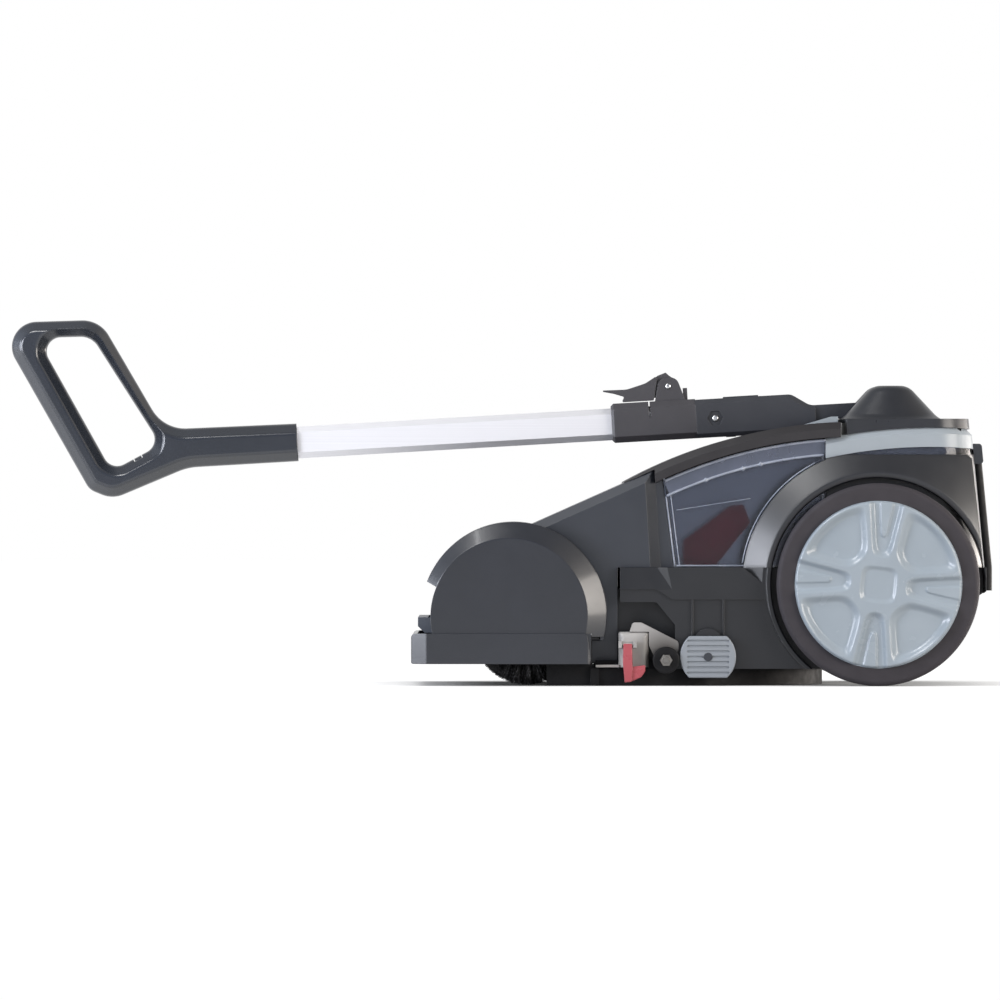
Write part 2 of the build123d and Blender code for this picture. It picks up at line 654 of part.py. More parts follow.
def behind_hood():
    """Room between the hood's leaning back and the clear tank's front, seen from the side."""
    high = hood_top_z(HOOD_BACK_TOP_X)
    return make_face(Polyline(
        (HOOD_BACK_LOW_X - 1, CHASSIS_TOP_Z), (TANK_FRONT_X - GAP, CHASSIS_TOP_Z),
        (tank_front_x(high) - GAP, high), (HOOD_BACK_TOP_X - 1, high), close=True,
    ))


def tank_outline(inset, top_r):
    """Clear tank seen from the side, with its front leaning like the hood's back."""
    face = make_face(Polyline(
        (TANK_FRONT_X + inset, CHASSIS_TOP_Z + inset), (TANK_BACK_X - inset, CHASSIS_TOP_Z + inset),
        (TANK_BACK_X - inset, COVER_TOP_Z), (tank_front_x(COVER_TOP_Z) + inset, COVER_TOP_Z), close=True,
    ))
    return face & disc(LID_CENTRE, top_r)


def tank_front_x(z):
    """X of the tank's leaning front at a height."""
    share = (z - CHASSIS_TOP_Z) / (hood_top_z(TANK_FRONT_TOP_X) - CHASSIS_TOP_Z)
    return TANK_FRONT_X + (TANK_FRONT_TOP_X - TANK_FRONT_X) * share


def make_tank():
    """Clear recovery tank, open under the lid, with a thick rim band."""
    tub = tank_outline(0, TANK_TOP_R)
    rim = tub - disc(LID_CENTRE, LID_LOW_R - TANK_RIM)
    part = across(tub, TANK_HALF) + across(rim, TANK_HALF + TANK_RIM_PROUD)
    return part - across(tank_outline(TANK_WALL, LID_R), TANK_HALF - TANK_WALL)


def make_seal():
    """Soft seal between the tank and its lid."""
    ring = tank_outline(0, LID_LOW_R) - disc(LID_CENTRE, TANK_TOP_R)
    inside = tank_outline(2 * TANK_WALL, LID_R)
    return across(ring, TANK_HALF) - across(inside, TANK_HALF - 2 * TANK_WALL)


def make_lid():
    """Lid with bevelled long edges, a groove for the folded handle and a hollow underside."""
    part = across(lid_outline(), LID_HALF)
    top = [
        e for e in part.edges()
        if abs(abs(e.center().Y) - LID_HALF) < 0.01
        and abs(hypot((e @ 0.5).X - LID_CENTRE[0], (e @ 0.5).Z - LID_CENTRE[1]) - LID_R) < 0.01
    ]
    part = chamfer(top, LID_BEVEL)
    part -= folded(box(-PIVOT_X, 0, -CHANNEL_HALF, CHANNEL_HALF, -YOKE_LOW - CHANNEL_GAP, DOME_HEIGHT))
    hollow = (disc(LID_CENTRE, LID_R - WALL) - disc(LID_CENTRE, LID_LOW_R - 1)) & rectangle(
        TANK_FRONT_X + 2 * WALL, LID_BACK_X - 8 * WALL, CHASSIS_TOP_Z, COVER_TOP_Z
    )
    for side in (-1, 1):
        low_y, high_y = sorted((side * (CHANNEL_HALF + 2 * WALL), side * (TANK_HALF - 4 * WALL)))
        part -= prism(hollow, low_y, high_y)
    return part


def band(face, half):
    """A slice of the rear compartment with rounded rear corners."""
    part = across(face, half)
    return fillet(slanted(part, half, AXLE_X + CORNER_R), CORNER_R)


def tail(inset):
    """Everything in front of the sloping rear wall, drawn in by an inset."""
    return make_face(Polyline(
        (0, CHASSIS_TOP_Z), (tail_x(CHASSIS_TOP_Z) - inset, CHASSIS_TOP_Z),
        (tail_x(2 * COVER_TOP_Z) - inset, 2 * COVER_TOP_Z), (0, 2 * COVER_TOP_Z), close=True,
    ))


def make_rear_body():
    """Rear body between the wheel arches, open above and below."""
    face = tail(0) & rectangle(TRIM_FRONT_X, TAIL_X, CHASSIS_TOP_Z, COVER_TOP_Z) & below_strip()
    part = band(face, BODY_HALF)
    inside = tail(WALL) & rectangle(TRIM_FRONT_X + WALL, TAIL_X, CHASSIS_TOP_Z - 1, COVER_TOP_Z)
    part -= band(inside, BODY_HALF - WALL)
    for side in (-1, 1):
        part = part + (make_arch(side) - across(rectangle(0, TRIM_FRONT_X, 0, COVER_TOP_Z), TANK_HALF + WALL))
    return part


def make_clean_tank():
    """Clear solution tank that hangs in the rear body and shows as a strip."""
    face = tail(2) & rectangle(COVER_X, TAIL_X, STRIP_LOW_Z, COVER_TOP_Z) & disc(SHOULDER_CENTRE, STRIP_TOP_R)
    strip = band(face, STRIP_HALF)
    part = strip + clean_tub(0)
    return part - clean_tub(TANK_WALL)


def clean_tub(inset):
    """Room in the rear body that the solution tank's tub fills, drawn in by an inset."""
    edge = 3 * WALL + inset
    low = CHASSIS_TOP_Z + BATTERY[2] + 2 * WALL + inset
    top_r = STRIP_TOP_R + 2 * inset
    face = tail(edge) & rectangle(TRIM_FRONT_X + edge, TAIL_X, low, COVER_TOP_Z)
    return across(face & disc(SHOULDER_CENTRE, top_r), BODY_HALF - WALL - CORNER_R / 2 - inset)


def make_trim():
    """Grey band above the clear strip, bevelled along its upper edge."""
    face = disc(SHOULDER_CENTRE, SHOULDER_R) - disc(SHOULDER_CENTRE, STRIP_TOP_R)
    face = face & tail(0) & rectangle(TRIM_FRONT_X, TAIL_X, CHASSIS_TOP_Z, COVER_TOP_Z)
    face = face - lid_outline()
    part = band(face, TRIM_HALF)
    upper = [
        e for e in part.edges()
        if e.length > TRIM_BEVEL and (e @ 0.5).X > COVER_X + CORNER_R and abs((e @ 0.5).Y) > 1
        and abs(hypot((e @ 0.5).X - SHOULDER_CENTRE[0], (e @ 0.5).Z - SHOULDER_CENTRE[1]) - SHOULDER_R) < 0.05
    ]
    part = chamfer(upper, TRIM_BEVEL)
    return part - box(
        TRIM_FRONT_X + 3 * WALL, TAIL_TOP_X - 3 * WALL, 4 * WALL - TRIM_HALF, TRIM_HALF - 4 * WALL,
        CHASSIS_TOP_Z, COVER_TOP_Z,
    )


def make_cover():
    """Flat rear cover above the grey band, hollow below."""
    face = tail(2) & rectangle(COVER_X, TAIL_X, CHASSIS_TOP_Z, COVER_TOP_Z)
    face = face - disc(SHOULDER_CENTRE, SHOULDER_R)
    return band(face, BODY_HALF)


# Brush deck
DECK = (DECK_X, DECK_Z)
DECK_FLAT = (DECK_END_X, DECK_END_Z)
BRUSH = (BRUSH_X, BRUSH_R)
MOTOR = (MOTOR_X, MOTOR_Z)
PULLEY_Y = (DECK_WALL_Y + DECK_END_Y) / 2 - PULLEY_WIDTH / 2
MOTOR_END_Y = DECK_WALL_Y - 2 * WALL


def deck_front():
    """The part of the deck's outline that is left open towards the front."""
    return deck_opening() - disc(DECK_FLAT, DECK_END_R)


def deck_opening():
    """Everything before the deck's middle and below the falling front edge of its cover."""
    far = DECK_X - 2 * DECK_R
    rim = DECK_X - sqrt(DECK_R ** 2 - (DECK_OPEN_Z - DECK_Z) ** 2)
    fall = tan(radians(DECK_OPEN_SLOPE))
    return make_face(Polyline(
        (far, DECK_OPEN_Z + fall * (rim - far)), (DECK_X, DECK_OPEN_Z - fall * (DECK_X - rim)),
        (DECK_X, -DECK_R), (far, -DECK_R), close=True,
    ))


def behind_skirt():
    """Room at the back of the deck for the skirt's rear bar."""
    bar = rectangle(SKIRT_X - 1.5 * SKIRT_T, SKIRT_X + GAP, -DECK_R, SKIRT_TOP_Z)
    return bar + rectangle(SKIRT_X, 2 * DECK_R, -DECK_R, SKIRT_TOP_Z - WALL)


def make_deck():
    """Round cover over the brush, with the two end walls that carry it and the hopper's rails."""
    shell = disc(DECK, DECK_R) - disc(DECK, DECK_R - WALL)
    shell = shell - deck_front() - rectangle(-DECK_R, 2 * DECK_R, -DECK_R, 2 * DECK_LOW_Z)
    shell = shell - deck_opening()
    part = across(shell, DECK_HALF)
    wall = disc(DECK, DECK_R - WALL / 2) - deck_front() - rectangle(-DECK_R, 2 * DECK_R, -DECK_R, DECK_LOW_Z)
    wall = wall - disc(BRUSH, BRUSH_AXLE_R + RUN) - behind_skirt()
    for side in (-1, 1):
        inner, outer = side * (DECK_WALL_Y - WALL), side * DECK_WALL_Y
        part += prism(wall, *sorted((inner, outer)))
        rail = rectangle(DECK_X - DECK_END_R + WALL, HOPPER_BACK_X, SKIRT_TOP_Z - WALL, SKIRT_TOP_Z)
        part += prism(rail, *sorted((side * (HOPPER_HALF - WALL), side * (DECK_WALL_Y - WALL / 2))))
    return part - rod(*MOTOR, MOTOR_R / 4, 0, DECK_HALF)


def end_cone(r_rim, r_flat, y_flat):
    """Leaning cone from the cover's round end to a flat face at that distance, left side."""
    rim = side_plane(-DECK_HALF) * disc(DECK, r_rim)
    return loft([rim, side_plane(-y_flat) * disc(DECK_FLAT, r_flat)], ruled=True)


def make_end_cap(side):
    """Bevelled end of the deck, hollow behind: a plug in the cover and a cone to the flat face."""
    part = end_cone(DECK_R, DECK_END_R, DECK_END_Y)
    part = fillet(part.edges().filter_by(GeomType.CIRCLE).sort_by(Axis.Y)[0], 2)
    part += prism(disc(DECK, DECK_R - WALL), -DECK_HALF, -DECK_WALL_Y)
    part -= end_cone(DECK_R - 2 * WALL, DECK_END_R - WALL, DECK_END_Y - WALL)
    part -= prism(disc(DECK, DECK_R - 2 * WALL), -DECK_HALF - GAP, 1 - DECK_WALL_Y)
    part = part if side < 0 else mirrored(part)
    away = deck_front() + rectangle(-2 * DECK_R, 2 * DECK_R, -DECK_R, DECK_LOW_Z)
    foot = rectangle(DECK_X, 2 * DECK_R, -DECK_R, 2 * DECK_LOW_Z) - disc(DECK, DECK_END_R)
    return part - across(away + foot + behind_skirt(), SKIRT_HALF)


def skirt_plan(x, y, facet, corner):
    """The skirt in plan, bevelled at its front corners and rounded at the back."""
    return outline(
        (facet - x, -y, 3), (x, -y, corner), (x, y, corner), (facet - x, y, 3),
        (-x, y - facet, 3), (-x, facet - y, 3),
    )


def make_skirt():
    """Frame round the foot of the deck."""
    ring = skirt_plan(SKIRT_X, SKIRT_HALF, SKIRT_FACET, SKIRT_T)
    ring = ring - skirt_plan(SKIRT_X - 1.5 * SKIRT_T, DECK_END_Y, 0.7 * SKIRT_FACET, 0)
    part = plate(ring, SKIRT_Z, SKIRT_TOP_Z)
    side = outline(
        (-SKIRT_X, SKIRT_Z, SKIRT_T / 2), (SKIRT_X, SKIRT_Z, 0),
        (SKIRT_X - SKIRT_T, SKIRT_TOP_Z, 1.2 * SKIRT_T), (-SKIRT_X, SKIRT_TOP_Z, SKIRT_T),
    )
    part = part & across(side, SKIRT_HALF)
    part += box(SKIRT_X - 1.5 * SKIRT_T, SKIRT_X, -DECK_END_Y, DECK_END_Y, SKIRT_Z, SKIRT_TOP_Z)
    within = HOOD_HALF - 4 * WALL
    top = SKIRT_TOP_Z - WALL - 2 * GAP
    return part + box(SKIRT_X - 1, SKIRT_X + 2 * SKIRT_T, -within, within, SKIRT_Z, top)


def make_brush_core():
    """Brush core with its two stub axles."""
    return rod(*BRUSH, BRUSH_CORE_R, -BRUSH_HALF, BRUSH_HALF) + rod(
        *BRUSH, BRUSH_AXLE_R, -DECK_WALL_Y - 2 * WALL, PULLEY_Y + PULLEY_WIDTH
    )


def make_bristles():
    """Tufts set in a sleeve round the core, in rows swept back from the middle."""
    sleeve = across(Circle(BRUSH_CORE_R + 1) - Circle(BRUSH_CORE_R), BRUSH_HALF)
    length = BRUSH_R - BRUSH_CORE_R
    tuft = Pos(BRUSH_CORE_R + length / 2 + 0.2, 0, 0) * Box(length - 0.6, TUFT, TUFT)
    tufts = []
    pitch = 2 * (BRUSH_HALF - TUFT) / (TUFT_ROWS - 1)
    for row in range(TUFT_ROWS):
        y = TUFT - BRUSH_HALF + pitch * row
        sweep = TUFT_SWEEP * abs(y) / BRUSH_HALF
        for step in range(TUFTS_ROUND):
            tufts.append(Pos(0, y, 0) * Rot(0, 360 / TUFTS_ROUND * step + sweep, 0) * tuft)
    part = sleeve.fuse(*tufts)
    return Pos(BRUSH_X, 0, BRUSH_R) * part


def make_pulley(centre, radius, bore):
    """Flat belt pulley between two flanges."""
    low, high = PULLEY_Y, PULLEY_Y + PULLEY_WIDTH
    part = rod(*centre, radius, low, high)
    for y in (low, high - 1.5):
        part += rod(*centre, radius + BELT_T, y, y + 1.5)
    return part - rod(*centre, bore, low - 1, high + 1)


def belt_outline(extra):
    """Outline round both pulleys, that much outside them."""
    (x1, z1), (x2, z2) = BRUSH, MOTOR
    r1, r2 = BRUSH_PULLEY_R + extra, MOTOR_PULLEY_R + extra
    span = hypot(x2 - x1, z2 - z1)
    ux, uz = (x2 - x1) / span, (z2 - z1) / span
    along = (r1 - r2) / span
    off = sqrt(1 - along ** 2)
    corners = []
    for (x, z), r, side in ((BRUSH, r1, 1), (MOTOR, r2, 1), (MOTOR, r2, -1), (BRUSH, r1, -1)):
        corners.append((x + r * (along * ux - side * off * uz), z + r * (along * uz + side * off * ux)))
    return disc(BRUSH, r1) + disc(MOTOR, r2) + make_face(Polyline(*corners, close=True))


def make_belt():
    """Drive belt, just clear of the pulleys that run in it."""
    face = belt_outline(GAP / 2 + BELT_T) - belt_outline(GAP / 2)
    return prism(face, PULLEY_Y + 2, PULLEY_Y + PULLEY_WIDTH - 2)


def make_brush_motor():
    """Motor inside the deck, bolted to the right end wall, with a bore for its pulley's shaft."""
    part = rod(*MOTOR, MOTOR_R, MOTOR_END_Y - MOTOR_LENGTH, MOTOR_END_Y)
    part += rod(*MOTOR, MOTOR_R / 2, MOTOR_END_Y, DECK_WALL_Y - WALL)
    return part - rod(*MOTOR, MOTOR_R / 5 + RUN, MOTOR_END_Y - MOTOR_LENGTH / 3, DECK_WALL_Y)


def make_motor_pulley():
    """Motor pulley on its own shaft."""
    part = make_pulley(MOTOR, MOTOR_PULLEY_R, MOTOR_R / 5)
    return part + rod(*MOTOR, MOTOR_R / 5, MOTOR_END_Y - MOTOR_LENGTH / 3 + 1, PULLEY_Y + PULLEY_WIDTH)


def make_hopper():
    """Debris hopper that pulls out forwards, with a lip to hold it by."""
    low = SKIRT_TOP_Z + GAP
    part = box(HOPPER_FRONT_X, HOPPER_BACK_X, -HOPPER_HALF, HOPPER_HALF, low, HOPPER_TOP_Z)
    part = chamfer(part.edges().filter_by(Axis.Y).group_by(Axis.X)[0].group_by(Axis.Z)[0], 2 * WALL)
    part -= box(
        HOPPER_FRONT_X + 3 * WALL, HOPPER_BACK_X - WALL, WALL - HOPPER_HALF, HOPPER_HALF - WALL,
        low + WALL / 2, HOPPER_TOP_Z + 1,
    )
    return part


# Squeegee
HOLDER_IN = SQUEEGEE_R - HOLDER_WIDTH / 2
HOLDER_OUT = SQUEEGEE_R + HOLDER_WIDTH / 2


def u_strip(r_low, r_high, z_low, z_high):
    """A strip bent to a half oval behind the brush, with two straight legs."""
    bend = Ellipse(r_high + SQUEEGEE_DEEP, r_high) - Ellipse(r_low + SQUEEGEE_DEEP, r_low)
    bend = bend & rectangle(0, 2 * r_high, -2 * r_high, 2 * r_high)
    face = Pos(SQUEEGEE_X, 0) * bend
    for y in (-r_high, r_low):
        face = face + rectangle(SQUEEGEE_LEG_X, SQUEEGEE_X, y, y + r_high - r_low)
    return plate(face, z_low, z_high)


def make_blade(r_low):
    """One rubber blade, held in the holder's groove."""
    return u_strip(r_low, r_low + BLADE_T, BLADE_LOW_Z, HOLDER_LOW_Z + BLADE_IN)


def make_holder():
    """Squeegee holder with a groove for each blade and sockets for the lifting rods."""
    part = u_strip(HOLDER_IN, HOLDER_OUT, HOLDER_LOW_Z, HOLDER_TOP_Z)
    for r in (FRONT_BLADE_R, REAR_BLADE_R):
        part -= u_strip(r, r + BLADE_T, HOLDER_LOW_Z - 1, HOLDER_LOW_Z + BLADE_IN)
    return part


FRONT_BLADE_R = HOLDER_IN + 1.0
REAR_BLADE_R = HOLDER_OUT - 1.0 - BLADE_T


def make_lift_rod(x, y):
    """Steel rod that guides the squeegee through the chassis floor."""
    return Pos(x, y, 0) * bored(LIFT_ROD_R, HOLDER_TOP_Z, LIFT_ROD_TOP_Z)


def make_carriage():
    """Left carriage: the block on the squeegee's leg, its foot plate and the clip's two lugs."""
    part = box(CARRIAGE_X, CARRIAGE_BACK_X, -CARRIAGE_OUT_Y, -HOLDER_IN, CARRIAGE_LOW_Z, CARRIAGE_TOP_Z)
    part = fillet(part.edges().filter_by(Axis.Y).group_by(Axis.Z)[-1], 3)
    outer = part.edges().filter_by(Axis.Z).group_by(Axis.Y)[0]
    part = fillet(outer.sort_by(Axis.X)[-1], 2 * WALL)
    foot_z = CARRIAGE_LOW_Z + 3
    part += box(SQUEEGEE_LEG_X, CARRIAGE_X + 1, -CARRIAGE_OUT_Y, -HOLDER_OUT, CARRIAGE_LOW_Z, foot_z)
    part -= box(SQUEEGEE_LEG_X - 1, CARRIAGE_BACK_X + 1, -HOLDER_OUT, 0, 0, HOLDER_TOP_Z)
    lug = 2 * CLIP_PIN_R
    clip_back = CLIP_X + CLIP_WIDTH + GAP
    for x_low, x_high in ((CARRIAGE_X, CLIP_X - GAP), (clip_back, clip_back + lug)):
        part += box(
            x_low, x_high, -CLIP_HINGE_Y - lug, -CARRIAGE_OUT_Y + 1, CLIP_HINGE_Z - lug, CLIP_HINGE_Z + lug
        )
    pin = Plane(origin=(CARRIAGE_X, -CLIP_HINGE_Y, CLIP_HINGE_Z), x_dir=(0, 1, 0), z_dir=(1, 0, 0))
    return part + pin * bored(CLIP_PIN_R, 1, CLIP_X - CARRIAGE_X + CLIP_WIDTH + lug)


def make_clip():
    """Left release clip, hinged on the carriage's pin."""
    face = outline(
        (CLIP_X, CLIP_LOW_Z, 3), (CLIP_X + CLIP_FOOT, CLIP_LOW_Z, 5),
        (CLIP_X + CLIP_FOOT, CLIP_FOOT_Z, 3),
        (CLIP_X + CLIP_WIDTH, CLIP_FOOT_Z, 3), (CLIP_X + CLIP_WIDTH, CLIP_HINGE_Z, 0),
        (CLIP_X, CLIP_HINGE_Z, 0),
    )
    back = -CARRIAGE_OUT_Y - GAP
    part = prism(face, back - CLIP_T, back)
    eye = Plane(origin=(CLIP_X, -CLIP_HINGE_Y, CLIP_HINGE_Z), x_dir=(0, 1, 0), z_dir=(1, 0, 0))
    part += eye * bored(2 * CLIP_PIN_R, 0, CLIP_WIDTH)
    return part - eye * bored(CLIP_PIN_R + RUN, -1, CLIP_WIDTH + 1)


def make_arm():
    """Left arm from the carriage to its roller."""
    back, top = CARRIAGE_BACK_X, CARRIAGE_TOP_Z
    face = outline(
        (back - 23, top, 0), (back - 19, top + 11, 3),
        (back - 9, top + 11, 4), (ROLLER_X + 15, ROLLER_Z + 22, 5),
        (ROLLER_X + 15, ROLLER_Z + 13, 5), (ROLLER_X + 8, ROLLER_Z - 9, 6),
        (ROLLER_X - 8, ROLLER_Z - 9, 6),
        (back, top - 16, 0), (back, top, 0),
    )
    return prism(face - disc((ROLLER_X, ROLLER_Z), ROLLER_BOLT_R), -ARM_Y - ARM_T, -ARM_Y)


def make_roller():
    """Left roller beside the squeegee."""
    low = -ARM_Y - ARM_T - GAP - ROLLER_WIDTH
    part = rod(ROLLER_X, ROLLER_Z, ROLLER_R, low, low + ROLLER_WIDTH)
    part = fillet(part.edges().filter_by(GeomType.CIRCLE), 2)
    return part - rod(ROLLER_X, ROLLER_Z, ROLLER_BOLT_R + RUN, low - 1, low + ROLLER_WIDTH + 1)


def make_roller_bolt():
    """Left roller's shoulder bolt."""
    low = -ARM_Y - ARM_T - 2 * GAP - ROLLER_WIDTH
    head = Pos(ROLLER_X, ROLLER_Z) * RegularPolygon(1.75 * ROLLER_BOLT_R, 6)
    return rod(ROLLER_X, ROLLER_Z, ROLLER_BOLT_R, low, -ARM_Y) + prism(head, low - ROLLER_BOLT_R, low)


def make_splash_strip():
    """Left rubber strip under the end wall of the deck."""
    end, inner = SQUEEGEE_LEG_X - 2 * GAP, 1 - DECK_WALL_Y + SPLASH_T
    part = box(SPLASH_X, end, inner - SPLASH_T, inner, 1, SKIRT_Z)
    part += box(SPLASH_X, SKIRT_X - 2 * SKIRT_T, inner - SPLASH_T, inner, 1, DECK_LOW_Z)
    outer, low = -HOLDER_OUT - 2 * GAP, CARRIAGE_LOW_Z - GAP
    part += box(end - SPLASH_T, end, outer - SPLASH_T / 2, inner, 1, low)
    return part + box(end - 1, end + SPLASH_T, outer - SPLASH_T / 2, outer, 1, low)


def make_pedal():
    """Ribbed foot pad with flat top and bottom."""
    centre = (PEDAL_X, PEDAL_Z)
    face = disc(centre, PEDAL_R) & (Pos(*centre) * Rectangle(3 * PEDAL_R, PEDAL_HEIGHT))
    part = prism(face, -PEDAL_Y - PEDAL_T, -PEDAL_Y)
    part = fillet(part.faces().sort_by(Axis.Y)[0].edges(), 1.5)
    for row in range(PEDAL_GROOVES):
        z = PEDAL_Z + PEDAL_PITCH * (row - (PEDAL_GROOVES - 1) / 2)
        groove = Pos(PEDAL_X, z) * SlotOverall(1.5 * PEDAL_R, PEDAL_PITCH / 2.5)
        part -= prism(groove, -PEDAL_Y - PEDAL_T - 1, -PEDAL_Y - PEDAL_T + 1.5)
    return part


def make_carrier():
    """Dark carrier behind the pad, with a stem through the wall's slot and a flange inside it."""
    half = STEM_WIDTH / 2
    low, high = SLOT_LOW_Z + GAP, SLOT_LOW_Z + GAP + STEM_T
    face = disc((PEDAL_X, CARRIER_Z), CARRIER_R) + rectangle(PEDAL_X - half, PEDAL_X + half, low, CARRIER_Z)
    part = prism(face, -PEDAL_Y, -CHASSIS_HALF + GAP)
    inside = -LOWER_HALF + WALL + GAP
    part += box(PEDAL_X - half, PEDAL_X + half, -PEDAL_Y, inside + 1, low, high)
    wide, tall = half + STEM_FLANGE, STEM_FLANGE / 2
    flange = rectangle(PEDAL_X - wide, PEDAL_X + wide, low - tall, high + tall)
    return part + prism(flange, inside, inside + WALL)


def make_pedal_screw():
    """Dark screw in the middle of the pad."""
    return rod(PEDAL_X, PEDAL_Z, 5, -PEDAL_Y - PEDAL_T - 0.6, -PEDAL_Y - PEDAL_T / 2)


# Handle
def tube_outline(extra):
    """Tube's bevelled section, drawn in Y and Z and that much larger all round."""
    width, height = TUBE_WIDTH + 2 * extra, TUBE_HEIGHT + 2 * extra
    return chamfer(Rectangle(width, height).vertices(), TUBE_CHAMFER)


def lengthwise(face, near, far):
    """A section drawn in Y and Z, carried out from the hinge between two distances."""
    place = Plane(origin=(-near, 0, 0), x_dir=(0, -1, 0), z_dir=(-1, 0, 0))
    return extrude(place * face, far - near)


def make_tube():
    """Aluminium tube with the slot that lets it slide past the cross bolt."""
    part = lengthwise(tube_outline(0) - tube_outline(-TUBE_WALL), TUBE_IN, TUBE_OUT)
    slot_end = YOKE_BOLT - EXTEND - YOKE_BOLT_R - GAP
    slot = rectangle(-YOKE_BOLT - YOKE_BOLT_R - GAP, -slot_end, -YOKE_BOLT_R - GAP, YOKE_BOLT_R + GAP)
    return part - across(slot, TUBE_WIDTH)


def make_yoke():
    """Yoke that takes the tube, narrows to a neck and turns on the hinge pin."""
    wide = outline(
        (-YOKE_FRONT, -YOKE_LOW, 0), (-YOKE_NECK + 24, -YOKE_LOW, 6), (-YOKE_NECK + 36, -NECK_TOP, 8),
        (0, -NECK_TOP, 0), (0, NECK_TOP, 0),
        (-YOKE_NECK + 14, NECK_TOP, 18), (-YOKE_NECK - 8, YOKE_TOP, 14),
        (-YOKE_FRONT, YOKE_TOP, 0),
    )
    part = across(wide, YOKE_HALF)
    long = 0.75 * (YOKE_FRONT - YOKE_NECK)
    part = chamfer([e for e in part.edges().filter_by(Axis.X) if e.length > long], 5)
    neck = box(-YOKE_NECK + 20, KNUCKLE_R, NECK_HALF, 2 * YOKE_HALF, -YOKE_HALF, YOKE_HALF)
    part = part - neck - mirrored(neck)
    part += rod(0, 0, KNUCKLE_R, -NECK_HALF, NECK_HALF)
    part += Pos(-POST, 0, 0) * bored(POST_R, -POST_LOW, 0)
    step = rectangle(-YOKE_FRONT + 34, -YOKE_FRONT + 76, YOKE_TOP - 1, YOKE_TOP + 1.5)
    part += across(step, NECK_HALF / 2)
    part -= lengthwise(tube_outline(SLIDE), TUBE_IN - GAP, YOKE_FRONT + 1)
    part -= rod(-YOKE_BOLT, 0, YOKE_BOLT_R, -YOKE_HALF - 1, YOKE_HALF + 1)
    for side in (-1, 1):
        low, high = sorted((side * (YOKE_HALF - YOKE_BOLT_R / 2), side * (YOKE_HALF + 1)))
        part -= prism(Pos(-YOKE_BOLT, 0) * RegularPolygon(2.4 * YOKE_BOLT_R, 6), low, high)
    return part - rod(0, 0, PIN_R + RUN, -YOKE_HALF, YOKE_HALF)


def make_yoke_bolt():
    """Cross bolt with a rounded tip in each hexagon recess."""
    part = rod(-YOKE_BOLT, 0, YOKE_BOLT_R, -YOKE_HALF - 1, YOKE_HALF + 1)
    return fillet(part.edges().filter_by(GeomType.CIRCLE), YOKE_BOLT_R / 2)


def make_clamp():
    """Collar that grips the tube, with a slit, two ears and the lever's pin."""
    block = Pos(0, (CLAMP_HALF - YOKE_LOW) / 2) * Rectangle(2 * CLAMP_HALF, CLAMP_HALF + YOKE_LOW)
    section = chamfer(block.vertices(), TUBE_CHAMFER)
    part = lengthwise(section, YOKE_FRONT, CLAMP_OUT)
    part = chamfer(part.faces().sort_by(Axis.X)[0].edges(), 3)
    slit = rectangle(-CLAMP_SLIT - 1, -CLAMP_SLIT + 1, CLAMP_HALF / 4, CLAMP_HALF + 1)
    part -= across(slit, CLAMP_HALF + 1)
    ear = outline(
        (-EAR - 17, CLAMP_HALF - 2, 0), (-EAR + 20, CLAMP_HALF - 2, 0),
        (-EAR + EAR_R, EAR_Z + EAR_R, EAR_R),
        (-EAR - EAR_R, EAR_Z + EAR_R, EAR_R),
    )
    for side in (-1, 1):
        part += prism(ear, *sorted((side * EAR_IN_Y, side * (EAR_IN_Y + EAR_T))))
    part += rod(-EAR, EAR_Z, LEVER_PIN_R, -EAR_IN_Y - EAR_T, EAR_IN_Y + EAR_T)
    part += box(-EAR + 17.5, -EAR + 22.5, -EAR_IN_Y, EAR_IN_Y, CLAMP_HALF - 2, EAR_Z - 3)
    return part - lengthwise(tube_outline(SLIDE), YOKE_FRONT - 1, CLAMP_OUT + 1)


def make_lever():
    """Cam lever that closes the collar, hinged between the ears."""
    tail = outline(
        (-LEVER_TIP, EAR_Z - 2, 0), (-LEVER_TIP + 13, EAR_Z - 5.2, 10), (-LEVER_TIP + 25, EAR_Z - 9.5, 1.5),
        (-LEVER_TIP + 21.5, CLAMP_HALF + 1.2, 1.5), (-EAR - 18, CLAMP_HALF + 1.2, 1),
        (-EAR - 12, EAR_Z + 14, 2), (-EAR - 27, EAR_Z + 5.2, 25), (-EAR - 50, EAR_Z - 1, 30),
        (-LEVER_TIP, EAR_Z - 0.4, 0),
    )
    hub = outline(
        (-EAR - 19, CLAMP_HALF + 4, 0), (-EAR - 6, CLAMP_HALF + 5, 0), (-EAR + 8, EAR_Z - 6, 5),
        (-EAR + 8, EAR_Z + 8, 4), (-EAR + 1.5, EAR_Z + 13.2, 1.5),
        (-EAR - 2, EAR_Z + 16.8, 1.5), (-EAR - 12, EAR_Z + 13.5, 0), (-EAR - 19, EAR_Z + 8, 0),
    )
    part = across(tail, EAR_IN_Y + EAR_T) + across(hub, EAR_IN_Y - GAP)
    return part - rod(-EAR, EAR_Z, LEVER_PIN_R + RUN, -YOKE_HALF, YOKE_HALF)


def grip_outline(end):
    """Grip seen from the side: a leaning loop on a neck, in shares of its length."""
    low_x, low_z, low_r = grip_corner(0.376, 0, 0.198)
    body = outline(
        grip_corner(1, 0.4633, 0.085), grip_corner(0.644, 0.4534, 0.102), grip_corner(0.449, 0.0706, 0.13),
        (-end, GRIP_NECK, 0), (-end, -GRIP_NECK, 0), (low_x, low_z - GRIP_NECK, low_r),
        grip_corner(0.6356, -0.1554, 0.096), grip_corner(0.712, -0.1186, 0.0565),
    )
    return body - outline(
        grip_corner(0.859, 0.404, 0.048), grip_corner(0.675, 0.398, 0.068),
        grip_corner(0.463, 0.02, 0.048), grip_corner(0.633, -0.0593, 0.048),
    )


